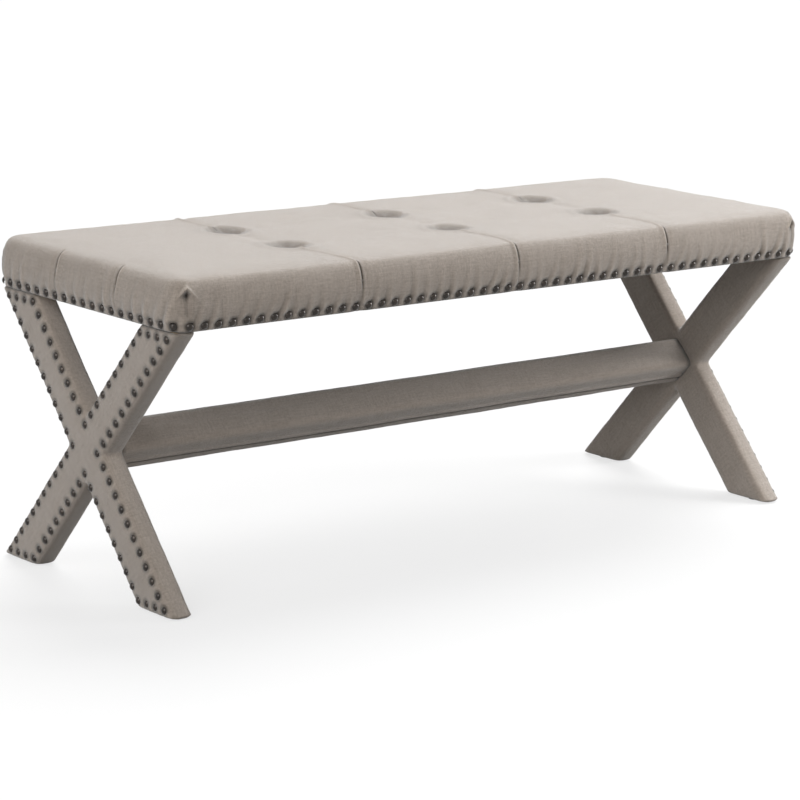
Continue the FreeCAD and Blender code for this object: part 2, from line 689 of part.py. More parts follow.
cover_outer = crossed_bars("leg_cover_outside", "0", "glide_height", COVER_TOP)
cover_inner = crossed_bars("leg_cover_inside", "cover_thickness", "leg_wood_low", "leg_height + shadow_gap")
cover_shell = cut("leg_cover_shell", cover_outer, cover_inner)
left_leg_cover = keep(cut("left_leg_cover", cover_shell, leg_skin_holes))
keep(mirrored("right_leg_cover", left_leg_cover))

# Stretcher: a square rail turned on its corner, with wadding and cover


def diamond(label, inset, half_length):
    reach = f"sqrt(2) * (stretcher_width / 2 - ({inset}))"
    body = padded_outline(label, "YZ_Plane", [
        ("0", f"crossing_height - {reach}"), (reach, "crossing_height"), ("0", f"crossing_height + {reach}"),
        (f"-{reach}", "crossing_height"),
    ], f"2 * ({half_length})", symmetric=True)
    round_edges(body, label + "_edges", f"max(stretcher_edge_radius - ({inset}); {LEAST_RADIUS})",
                lambda edge: span(edge, 0) > 1)
    return body


core_blank = diamond("stretcher_core_blank", "leg_skin", "stretcher_half")
keep(cut("stretcher_core", core_blank, stretcher_holes))
for label, outside, inside in (("stretcher_wadding", LEG_WADDING_OUT, LEG_WADDING_IN),
                               ("stretcher_cover", "0", COVER_IN)):
    keep(cut(label, diamond(label + "_outside", outside, "stretcher_half - layer_gap"),
             diamond(label + "_inside", inside, "stretcher_half + layer_gap")))

# Fasteners

keep(group("rail_dowels", dowel, rail_dowel_places))
keep(group("deck_screws", screw, deck_screw_places))
keep(group("tuft_twines", twine, tuft_places))
keep(group("tuft_washers", tuft_washer, tuft_places))
keep(group("leg_bolts", bolt, leg_bolt_places))
keep(group("leg_bolt_washers", washer, leg_washer_places))
keep(group("leg_inserts", insert, leg_insert_places))
keep(group("leg_dowels", dowel, leg_dowel_places))
keep(group("glides", glide, glide_places))
keep(group("lap_screws", screw, lap_screw_places))
keep(group("stretcher_bolts", bolt, cross_bolt_places))
keep(group("stretcher_bolt_washers", washer, cross_washer_places))
keep(group("stretcher_inserts", insert, cross_insert_places))
keep(group("stretcher_dowels", dowel, cross_dowel_places))


def evenly(start, end, pitch):
    # Points from start up to, not including, end, in equal steps near the pitch
    steps = max(1, round((end - start).Length / pitch))
    return [start + (end - start) * (k / steps) for k in range(steps)]


# Staples round the dust cover: crown under the cloth, legs up into the rails

dust_x = size("stretcher_half") - size("dust_cover_clearance") - size("staple_inset")
dust_y = size("seat_depth") / 2 - size("dust_cover_inset") - size("staple_inset")
dust_z = size("leg_height") - size("dust_cover_thickness")
dust_corners = [Vector(-dust_x, -dust_y, dust_z), Vector(dust_x, -dust_y, dust_z),
                Vector(dust_x, dust_y, dust_z), Vector(-dust_x, dust_y, dust_z)]
staple_places = []
for k in range(4):
    start, end = dust_corners[k], dust_corners[(k + 1) % 4]
    turn = 90 * (k % 2)
    half_step = (end - start) / (2 * max(1, round((end - start).Length / size("staple_pitch"))))
    for spot in evenly(start, end, size("staple_pitch")):
        staple_places.append(Placement(spot + half_step, Rotation(Vector(0, 0, 1), turn)))
keep(group("dust_cover_staples", staple, staple_places))

# Nails of the seat: one loop round its rounded outline, in equal steps


def seat_loop(distance):
    # The place and outward direction at a distance along the loop, from the middle of the front to the right
    radius = size("seat_corner_radius")
    flat_x = size("seat_length") / 2 - radius
    flat_y = size("seat_depth") / 2 - radius
    bend = math.pi * radius / 2
    lengths = [flat_x, bend, 2 * flat_y, bend, 2 * flat_x, bend, 2 * flat_y, bend, flat_x]
    centres = [(flat_x, -flat_y), (flat_x, flat_y), (-flat_x, flat_y), (-flat_x, -flat_y)]
    starts = [(0, -flat_y), (flat_x, -flat_y), (flat_x, flat_y), (-flat_x, flat_y), (-flat_x, -flat_y)]
    for k, length in enumerate(lengths):
        if distance <= length:
            break
        distance -= length
    side = k // 2
    angle = math.radians(90 * side - 90)
    if k % 2:
        centre = centres[side]
        angle += distance / radius
    else:
        along = Vector(-math.sin(angle), math.cos(angle), 0)
        centre = (starts[side][0] + along.x * distance, starts[side][1] + along.y * distance)
    outward = Vector(math.cos(angle), math.sin(angle), 0)
    return Vector(centre[0], centre[1], 0) + outward * radius, outward


def seat_nail_places():
    radius = size("seat_corner_radius")
    around = 2 * (size("seat_length") + size("seat_depth") - 4 * radius) + 2 * math.pi * radius
    count = 2 * round(around / size("nail_pitch") / 2)
    sides = {"front": [], "right": [], "back": [], "left": []}
    for k in range(count):
        spot, outward = seat_loop((k + 0.5) * around / count)
        spot.z = size("leg_height") + size("seat_nail_height")
        if abs(outward.x) > 1 - NEAR:
            side = "right" if outward.x > 0 else "left"
        else:
            side = "back" if outward.y > 0 else "front"
        sides[side].append(Placement(spot, Rotation(Vector(0, 0, 1), outward)))
    return sides


for side, places in seat_nail_places().items():
    keep(group(f"{side}_seat_nails", nail, places))

# Nails of a leg frame: a loop just inside the outline of its outer face


def leg_nail_loop():
    inset = size("leg_nail_inset")
    level_inset = inset / size("lean_cosine")
    half = size("bar_end_width") / 2 - level_inset
    low = size("glide_height") + inset
    high = size("leg_height") - size("shadow_gap") - inset
    middle = size("crossing_height")
    rise = half * middle / size("half_run")
    loop = []
    for height, sign in ((high, 1), (low, -1)):
        outer = abs(bar_middle(height)) + half
        inner = abs(bar_middle(height)) - half
        loop.append([(-outer * sign, height), (-inner * sign, height), (0, middle + sign * rise),
                     (inner * sign, height), (outer * sign, height), (half * sign, middle)])
    return [Vector(0, y, z) for part in loop for y, z in part]


outline = leg_nail_loop()
leg_nail_spots = []
for k, corner in enumerate(outline):
    leg_nail_spots += evenly(corner, outline[(k + 1) % len(outline)], size("nail_pitch"))
leg_outer = size("leg_centre") + size("leg_thickness") / 2
left_leg_nails = keep(group("left_leg_nails", nail,
                            [stood(-leg_outer, spot.y, spot.z, OUTWARD["-x"]) for spot in leg_nail_spots]))
keep(mirrored("right_leg_nails", left_leg_nails))

# Check everything, then write one file for each piece

doc.recompute()
for item in doc.Objects:
    if "Invalid" in item.State or "Error" in item.State:
        raise ValueError(f"{item.Label} failed: {item.State}")
for item in nodes:
    if item.Shape.isNull() or not item.Shape.isValid() or item.Shape.Volume <= 0:
        raise ValueError(f"{item.Label} has no sound solid")
for item in nodes:
    item.Shape.exportStep(f"parts/{item.Label}.step")
    print(item.Label, len(item.Shape.Solids), round(item.Shape.Volume))
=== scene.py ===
import math
import random

import bmesh
import bpy
import numpy as np
from mathutils import Matrix, Vector, noise


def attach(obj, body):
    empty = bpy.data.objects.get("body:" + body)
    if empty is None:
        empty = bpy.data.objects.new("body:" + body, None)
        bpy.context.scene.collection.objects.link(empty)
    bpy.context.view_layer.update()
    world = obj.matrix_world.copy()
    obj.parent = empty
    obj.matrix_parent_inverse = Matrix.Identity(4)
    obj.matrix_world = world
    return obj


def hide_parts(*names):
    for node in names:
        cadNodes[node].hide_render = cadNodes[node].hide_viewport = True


# An upholstered bench with a tufted seat, nailed X legs and a square rail turned on its corner.
# Metres, +Z up, the front faces -Y.

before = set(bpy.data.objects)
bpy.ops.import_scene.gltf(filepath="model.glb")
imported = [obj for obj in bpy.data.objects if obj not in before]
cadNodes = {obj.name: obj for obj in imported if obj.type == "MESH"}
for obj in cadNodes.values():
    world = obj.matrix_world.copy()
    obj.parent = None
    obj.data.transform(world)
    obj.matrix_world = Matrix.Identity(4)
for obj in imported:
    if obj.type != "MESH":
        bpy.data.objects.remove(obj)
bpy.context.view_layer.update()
scene = bpy.context.scene
print("frame loaded with", len(cadNodes), "pieces")


# Small helpers for modelling

def pickOnly(piece):
    bpy.ops.object.select_all(action="DESELECT")
    piece.select_set(True)
    bpy.context.view_layer.objects.active = piece


def startEdit(piece, kind):
    pickOnly(piece)
    bpy.ops.object.mode_set(mode="EDIT")
    bpy.ops.mesh.select_mode(type=kind)
    bpy.ops.mesh.select_all(action="DESELECT")


def endEdit():
    bpy.ops.object.mode_set(mode="OBJECT")


def pickEdges(piece, test):
    # In edit mode, selects only the edges whose two ends pass the test
    bpy.ops.mesh.select_all(action="DESELECT")
    mesh = bmesh.from_edit_mesh(piece.data)
    for edge in mesh.edges:
        edge.select_set(test(edge.verts[0].co, edge.verts[1].co))
    bmesh.update_edit_mesh(piece.data)


def roundEdges(piece, radius, segments, test):
    pickEdges(piece, test)
    bpy.ops.mesh.bevel(offset=radius, segments=segments, profile=0.5, affect="EDGES")


def settle(piece):
    # Moves the object's place, turn and size into its mesh
    pickOnly(piece)
    bpy.ops.object.transform_apply(location=True, rotation=True, scale=True)


def addBlock(name, low, high):
    bpy.ops.object.select_all(action="DESELECT")
    low, high = Vector(low), Vector(high)
    bpy.ops.mesh.primitive_cube_add(size=1, location=(low + high) / 2, scale=high - low)
    block = bpy.context.object
    block.name = name
    settle(block)
    return block


def copyOf(piece, name):
    twin = piece.copy()
    twin.data = piece.data.copy()
    twin.name = name
    scene.collection.objects.link(twin)
    return twin


def finishWith(piece, kind, **settings):
    step = piece.modifiers.new(kind.lower(), kind)
    for name, value in settings.items():
        setattr(step, name, value)
    pickOnly(piece)
    bpy.ops.object.modifier_apply(modifier=step.name)


def remesh(piece, voxel):
    # Even faces all over, pulled back onto the form they came from
    form = copyOf(piece, piece.name + "_form")
    piece.data.remesh_voxel_size = voxel
    pickOnly(piece)
    bpy.ops.object.voxel_remesh()
    finishWith(piece, "SMOOTH", factor=0.5, iterations=4)
    finishWith(piece, "SHRINKWRAP", target=form, wrap_method="NEAREST_SURFACEPOINT")
    bpy.data.objects.remove(form)


def vectorsOf(items, name):
    # One row of X, Y and Z for each vertex or face
    values = np.empty(len(items) * 3)
    items.foreach_get(name, values)
    return values.reshape(-1, 3)


def pointsOf(piece):
    return vectorsOf(piece.data.vertices, "co")


def normalsOf(piece):
    return vectorsOf(piece.data.vertices, "normal")


def movePoints(piece, points):
    piece.data.vertices.foreach_set("co", np.ascontiguousarray(points, dtype=np.float64).ravel())
    piece.data.update()


def refine(piece, chosen):
    # Halves the faces whose middle passes the test, given as arrays of X, Y and Z
    picked = chosen(*vectorsOf(piece.data.polygons, "center").T)
    startEdit(piece, "FACE")
    endEdit()
    piece.data.polygons.foreach_set("select", picked)
    bpy.ops.object.mode_set(mode="EDIT")
    bpy.ops.mesh.subdivide(number_cuts=1, smoothness=0.0)
    endEdit()


def softNoise(points, scale, offset):
    # Smooth noise from -1 to 1 at each point
    shift = Vector((offset, offset * 0.7, -offset))
    return np.array([noise.noise(Vector(point) / scale + shift) for point in points])


def waves(points, shape, offset):
    # Noise given by its height and the size of its waves
    height, width = shape
    return height * softNoise(points, width, offset)


def bump(distance, width):
    return np.exp(-(distance / width) ** 2)


def hump(distance, shape):
    # A soft ridge or groove, given by its place, its width and its height
    place, width, height = shape
    return height * bump(distance - place, width)


def ramp(value, start, end):
    # 0 before start, 1 past end, smooth between
    share = np.clip((value - start) / (end - start), 0, 1)
    return share * share * (3 - 2 * share)


def keepPaintedShade(piece, paintedShade):
    # Painted shade at each point, darker in creases, grooves and round nails, with a painted highlight where
    # it is negative; the fabric's material reads it
    layer = piece.data.attributes.new("paintedShade", "FLOAT", "POINT")
    layer.data.foreach_set("value", paintedShade.astype(np.float32))


def layWeave(piece, flatPlaces):
    # The weave's own map in metres; flatPlaces gives U and V for each face corner
    mesh = piece.data
    corners = np.empty(len(mesh.loops), dtype=np.int32)
    mesh.loops.foreach_get("vertex_index", corners)
    sizes = np.empty(len(mesh.polygons), dtype=np.int32)
    mesh.polygons.foreach_get("loop_total", sizes)
    centres = np.repeat(vectorsOf(mesh.polygons, "center"), sizes, axis=0)
    facing = np.repeat(vectorsOf(mesh.polygons, "normal"), sizes, axis=0)
    flat = flatPlaces(pointsOf(piece)[corners], centres, facing)
    layer = mesh.uv_layers.new(name="weave")
    layer.data.foreach_set("uv", flat.astype(np.float32).ravel())


def smoothShade(piece, angle=180.0):
    pickOnly(piece)
    bpy.ops.object.shade_smooth_by_angle(angle=math.radians(angle))


def upholster(piece, flatPlaces, angle=180.0):
    smoothShade(piece, angle)
    layWeave(piece, flatPlaces)
    piece.data.materials.append(linen)


# Small helpers for materials

def put(tree, kind, feeds=None, **settings):
    # A shader node with its settings, and its inputs linked or set
    node = tree.nodes.new("ShaderNode" + kind)
    for name, value in settings.items():
        setattr(node, name, value)
    for socket, source in (feeds or {}).items():
        if isinstance(source, bpy.types.NodeSocket):
            tree.links.new(source, node.inputs[socket])
        else:
            node.inputs[socket].default_value = source
    return node


def sums(tree, operation, first, second=0.0, third=0.0):
    return put(tree, "Math", {0: first, 1: second, 2: third}, operation=operation).outputs[0]


def stretched(tree, vector, scale):
    return put(tree, "VectorMath", {0: vector, 1: scale}, operation="MULTIPLY").outputs[0]


def cloudy(tree, vector, scale, detail=2.0):
    return put(tree, "TexNoise", {"Vector": vector, "Scale": scale, "Detail": detail}).outputs["Fac"]


def mixed(tree, factor, first, second, blend="MIX"):
    node = put(tree, "Mix", {0: factor, 6: first, 7: second}, data_type="RGBA", blend_type=blend)
    return node.outputs[2]


def newGroup(name, inputs):
    # A shader group for a surface: its inputs are given as (name, kind, value)
    group = bpy.data.node_groups.new(name, "ShaderNodeTree")
    for label, kind, value in inputs:
        socket = group.interface.new_socket(label, in_out="INPUT", socket_type="NodeSocket" + kind)
        if value is not None:
            socket.default_value = value
    for label, kind in (("Color", "Color"), ("Height", "Float"), ("Roughness", "Float")):
        group.interface.new_socket(label, in_out="OUTPUT", socket_type="NodeSocket" + kind)
    return group, group.nodes.new("NodeGroupInput").outputs, group.nodes.new("NodeGroupOutput").inputs


def newMaterial(name):
    material = bpy.data.materials.new(name)
    material.use_nodes = True
    tree = material.node_tree
    tree.nodes.clear()
    shader = tree.nodes.new("ShaderNodeBsdfPrincipled")
    output = tree.nodes.new("ShaderNodeOutputMaterial")
    tree.links.new(shader.outputs[0], output.inputs["Surface"])
    return material, tree, shader


def addBump(tree, shader, height, distance, strength=1.0):
    relief = put(tree, "Bump", {"Height": height, "Distance": distance, "Strength": strength})
    tree.links.new(relief.outputs[0], shader.inputs["Normal"])


def useGroup(tree, shader, group, feeds, distance, strength=1.0):
    # The group's colour, roughness and relief on the shader
    surface = put(tree, "Group", feeds, node_tree=group).outputs
    tree.links.new(surface["Color"], shader.inputs["Base Color"])
    tree.links.new(surface["Roughness"], shader.inputs["Roughness"])
    addBump(tree, shader, surface["Height"], distance, strength)


# Shared surface effects

weaveLook = {
    "slubAcross": 700,      # noise scales per metre
    "slubAlong": 26,
    "heather": 260.0,
    "patches": 14.0,
    "patchShare": 0.3,
    "streaks": (60, 260, 1),
    "streakShare": 0.3,
}


def makeWeaveGroup():
    # Plain weave with slubs along both threads, a heathered mix and soft patches, with painted shade and
    # painted highlight multiplied on top
    group, given, result = newGroup(
        "weave",
        [("Vector", "Vector", None), ("Pitch", "Float", 0.001), ("Slub", "Float", 0.5),
         ("Mottle", "Float", 0.5), ("Light", "Color", (0.8, 0.8, 0.8, 1)),
         ("Dark", "Color", (0.4, 0.4, 0.4, 1)), ("PaintedShade", "Float", 0.0)])
    place = put(group, "SeparateXYZ", {0: given["Vector"]}).outputs
    threads = []
    for axis in (0, 1):
        halfTurns = sums(group, "DIVIDE", sums(group, "MULTIPLY", place[axis], math.pi), given["Pitch"])
        threads.append(sums(group, "SINE", halfTurns))
    warp, weft = threads
    over = sums(group, "GREATER_THAN", sums(group, "MULTIPLY", warp, weft), 0.0)
    upper = put(group, "Mix", {0: over, 2: sums(group, "ABSOLUTE", warp), 3: sums(group, "ABSOLUTE", weft)})
    across, along = weaveLook["slubAcross"], weaveLook["slubAlong"]
    warpSlub = cloudy(group, stretched(group, given["Vector"], (across, along, 1)), 1.0)
    weftSlub = cloudy(group, stretched(group, given["Vector"], (along, across, 1)), 1.0)
    slubs = sums(group, "SUBTRACT", sums(group, "ADD", warpSlub, weftSlub), 1.0)
    heather = sums(group, "SUBTRACT", cloudy(group, given["Vector"], weaveLook["heather"], 3.0), 0.5)
    patches = sums(group, "SUBTRACT", cloudy(group, given["Vector"], weaveLook["patches"], 3.0), 0.5)
    streaks = cloudy(group, stretched(group, given["Vector"], weaveLook["streaks"]), 1.0)
    streaks = sums(group, "MULTIPLY", sums(group, "SUBTRACT", streaks, 0.5), weaveLook["streakShare"])
    broad = sums(group, "MULTIPLY_ADD", patches, weaveLook["patchShare"], streaks)
    clouds = sums(group, "MULTIPLY", sums(group, "ADD", heather, broad), given["Mottle"])
    flecks = sums(group, "MULTIPLY", slubs, given["Slub"])
    share = sums(group, "ADD", sums(group, "ADD", flecks, clouds), 0.5)
    share = put(group, "Clamp", {0: share}).outputs[0]
    colour = mixed(group, share, given["Dark"], given["Light"])
    # Painted shade: the colour is multiplied by one minus it, so a negative value paints a highlight
    shade = sums(group, "SUBTRACT", 1.0, given["PaintedShade"])
    shade = put(group, "CombineColor", {0: shade, 1: shade, 2: shade}).outputs[0]
    group.links.new(mixed(group, 1.0, colour, shade, "MULTIPLY"), result["Color"])
    group.links.new(sums(group, "MULTIPLY_ADD", slubs, 0.8, upper.outputs[0]), result["Height"])
    group.links.new(sums(group, "MULTIPLY_ADD", slubs, -0.1, 0.86), result["Roughness"])
    return group


wearLook = {
    "broad": 60.0,          # noise scale per metre
    "wearsFrom": 0.68,
    "fullyWorn": 0.86,
}


def makeWearGroup():
    # A surface tone that wears to another in spots, with fine pits
    group, given, result = newGroup(
        "wear",
        [("Vector", "Vector", None), ("Fine", "Float", 900.0), ("Amount", "Float", 0.3),
         ("Tone", "Color", (0.5, 0.5, 0.5, 1)), ("Worn", "Color", (0.8, 0.8, 0.8, 1)),
         ("Smooth", "Float", 0.35)])
    spots = cloudy(group, given["Vector"], given["Fine"], 4.0)
    broad = cloudy(group, given["Vector"], wearLook["broad"])
    both = sums(group, "MULTIPLY_ADD", broad, 0.5, spots)
    mask = put(group, "MapRange", {0: both, 1: wearLook["wearsFrom"], 2: wearLook["fullyWorn"]}).outputs[0]
    mask = sums(group, "MULTIPLY", mask, given["Amount"])
    group.links.new(mixed(group, mask, given["Tone"], given["Worn"]), result["Color"])
    group.links.new(spots, result["Height"])
    group.links.new(sums(group, "MULTIPLY_ADD", spots, 0.25, given["Smooth"]), result["Roughness"])
    return group


grainLook = {
    "drawnOut": (0.12, 1, 1),
    "wander": 6.0,
    "pores": (60, 900, 900),
}


def makeGrainGroup():
    # Growth lines along X of the given vector, with pores and a slow change of tone
    group, given, result = newGroup(
        "grain",
        [("Vector", "Vector", None), ("Lines", "Float", 160.0), ("Light", "Color", (0.8, 0.6, 0.4, 1)),
         ("Dark", "Color", (0.5, 0.35, 0.2, 1))])
    feeds = {"Vector": stretched(group, given["Vector"], grainLook["drawnOut"]), "Scale": given["Lines"],
             "Distortion": grainLook["wander"], "Detail": 2.0, "Detail Scale": 0.6}
    bands = put(group, "TexWave", feeds, wave_type="BANDS", bands_direction="Y").outputs["Fac"]
    pores = cloudy(group, stretched(group, given["Vector"], grainLook["pores"]), 1.0, 3.0)
    share = sums(group, "MULTIPLY_ADD", pores, 0.5, sums(group, "MULTIPLY", bands, 0.5))
    group.links.new(mixed(group, share, given["Dark"], given["Light"]), result["Color"])
    relief = sums(group, "MULTIPLY_ADD", pores, 0.6, sums(group, "MULTIPLY", bands, 0.4))
    group.links.new(relief, result["Height"])
    group.links.new(sums(group, "MULTIPLY_ADD", pores, 0.2, 0.5), result["Roughness"])
    return group


weaveGroup = makeWeaveGroup()
wearGroup = makeWearGroup()
grainGroup = makeGrainGroup()


# Materials

linenLook = {
    "light": (0.66, 0.575, 0.505, 1),
    "dark": (0.33, 0.27, 0.215, 1),
    "pitch": 0.0011,
    "slub": 0.62,
    "mottle": 0.9,
    "relief": 0.0006,
    "sheen": 1.0,
    "sheenRoughness": 0.4,
    "gloss": 0.2,
}


def makeLinen():
    material, tree, shader = newMaterial("linen")
    flat = put(tree, "UVMap", uv_map="weave").outputs[0]
    # Painted shade and painted highlight kept on the mesh
    paintedShade = put(tree, "Attribute", attribute_name="paintedShade").outputs["Fac"]
    useGroup(tree, shader, weaveGroup, {
        "Vector": flat, "Pitch": linenLook["pitch"], "Slub": linenLook["slub"], "Mottle": linenLook["mottle"],
        "Light": linenLook["light"], "Dark": linenLook["dark"], "PaintedShade": paintedShade}, linenLook["relief"], 0.6)
    shader.inputs["Sheen Weight"].default_value = linenLook["sheen"]
    shader.inputs["Sheen Roughness"].default_value = linenLook["sheenRoughness"]
    shader.inputs["Specular IOR Level"].default_value = linenLook["gloss"]
    return material


def makeDustCloth():
    material, tree, shader = newMaterial("dustCloth")
    flat = put(tree, "UVMap", uv_map="weave").outputs[0]
    useGroup(tree, shader, weaveGroup, {
        "Vector": flat, "Pitch": 0.0022, "Slub": 0.4, "Mottle": 0.8,
        "Light": (0.05, 0.05, 0.055, 1), "Dark": (0.016, 0.016, 0.018, 1)}, 0.0003, 0.5)
    return material


def makeTwine():
    material, tree, shader = newMaterial("waxedTwine")
    place = put(tree, "TexCoord").outputs["Object"]
    useGroup(tree, shader, weaveGroup, {
        "Vector": stretched(tree, place, (1, 1, 1.6)), "Pitch": 0.0008, "Slub": 0.4, "Mottle": 0.4,
        "Light": (0.5, 0.43, 0.36, 1), "Dark": (0.28, 0.23, 0.18, 1)}, 0.0003)
    return material


def makeFoam():
    material, tree, shader = newMaterial("seatFoam")
    place = put(tree, "TexCoord").outputs["Object"]
    cells = put(tree, "TexVoronoi", {"Vector": place, "Scale": 520.0}).outputs["Distance"]
    tone = mixed(tree, cloudy(tree, place, 9.0), (0.62, 0.55, 0.36, 1), (0.78, 0.72, 0.52, 1))
    tree.links.new(tone, shader.inputs["Base Color"])
    tree.links.new(sums(tree, "MULTIPLY_ADD", cells, 0.1, 0.85), shader.inputs["Roughness"])
    addBump(tree, shader, cells, 0.0008)
    return material


def makeWood(name, light, dark, lines, turn):
    # turn puts the grain along the piece
    material, tree, shader = newMaterial(name)
    place = put(tree, "TexCoord").outputs["Object"]
    along = put(tree, "Mapping", {"Vector": place, "Rotation": turn}).outputs[0]
    feeds = {"Vector": along, "Lines": lines, "Light": light, "Dark": dark}
    useGroup(tree, shader, grainGroup, feeds, 0.0003)
    return material


def makePine(name, turn):
    return makeWood(name, (0.72, 0.53, 0.31, 1), (0.5, 0.32, 0.15, 1), 140.0, turn)


def makeMetal(name, tone, worn, smooth, amount, metallic=1.0, coat=0.0):
    # amount is how much of it is worn; a coat adds a clear, smooth lacquer
    material, tree, shader = newMaterial(name)
    place = put(tree, "TexCoord").outputs["Object"]
    useGroup(tree, shader, wearGroup, {
        "Vector": place, "Amount": amount, "Tone": tone, "Worn": worn, "Smooth": smooth}, 0.0002, 0.4)
    shader.inputs["Metallic"].default_value = metallic
    if coat:
        shader.inputs["Coat Weight"].default_value = coat
        shader.inputs["Coat Roughness"].default_value = 0.12
    return material


barRise, barRun = 0.408, 0.357
barLean = math.atan2(barRise, barRun)
quarterTurn = math.pi / 2

linen = makeLinen()
dustCloth = makeDustCloth()
finishes = (
    (makePine("pineAlongX", (0, 0, 0)), ("front_rail", "back_rail", "stretcher_core")),
    (makePine("pineAlongY", (0, 0, quarterTurn)),
     ("left_end_rail", "right_end_rail", "left_cross_rail", "right_cross_rail")),
    (makePine("pineForwardBar", (0, barLean, -quarterTurn)), ("left_forward_bar", "right_forward_bar")),
    (makePine("pineBackwardBar", (0, barLean, quarterTurn)), ("left_backward_bar", "right_backward_bar")),
    (makeWood("plywood", (0.7, 0.52, 0.33, 1), (0.52, 0.36, 0.2, 1), 60.0, (0, 0, 0)), ("seat_deck",)),
    (makeWood("beech", (0.76, 0.56, 0.38, 1), (0.58, 0.4, 0.25, 1), 260.0, (0, 0, 0)),
     ("rail_dowels", "leg_dowels", "stretcher_dowels")),
    (makeFoam(), ("foam_pad",)),
    (makeTwine(), ("tuft_twines",)),
    (makeMetal("zincPlate", (0.55, 0.56, 0.58, 1), (0.75, 0.75, 0.74, 1), 0.25, 0.6),
     ("deck_screws", "lap_screws", "leg_bolts", "leg_bolt_washers", "stretcher_bolts",
      "stretcher_bolt_washers", "tuft_washers", "dust_cover_staples")),
    (makeMetal("plainBrass", (0.72, 0.52, 0.24, 1), (0.5, 0.36, 0.2, 1), 0.3, 0.5),
     ("leg_inserts", "stretcher_inserts")),
    (makeMetal("mouldedPlastic", (0.045, 0.038, 0.034, 1), (0.09, 0.08, 0.075, 1), 0.4, 0.5, metallic=0.0),
     ("glides",)),
    (makeMetal("agedBronze", (0.013, 0.010, 0.008, 1), (0.10, 0.07, 0.05, 1), 0.24, 0.25, coat=0.6),
     ("front_seat_nails", "back_seat_nails", "left_seat_nails", "right_seat_nails",
      "left_leg_nails", "right_leg_nails")),
)
for material, names in finishes:
    for name in names:
        cadNodes[name].material_slots[0].material = material
print("materials ready")


# Seat
# Three numbers in brackets are a hump's place, width and height; for a painted shade the height is how dark
# it is painted, and a negative height paints a highlight.

# The painted shadow round each nail head starts at nailRim
nailRim = 0.0062        # the shade round a nail starts here

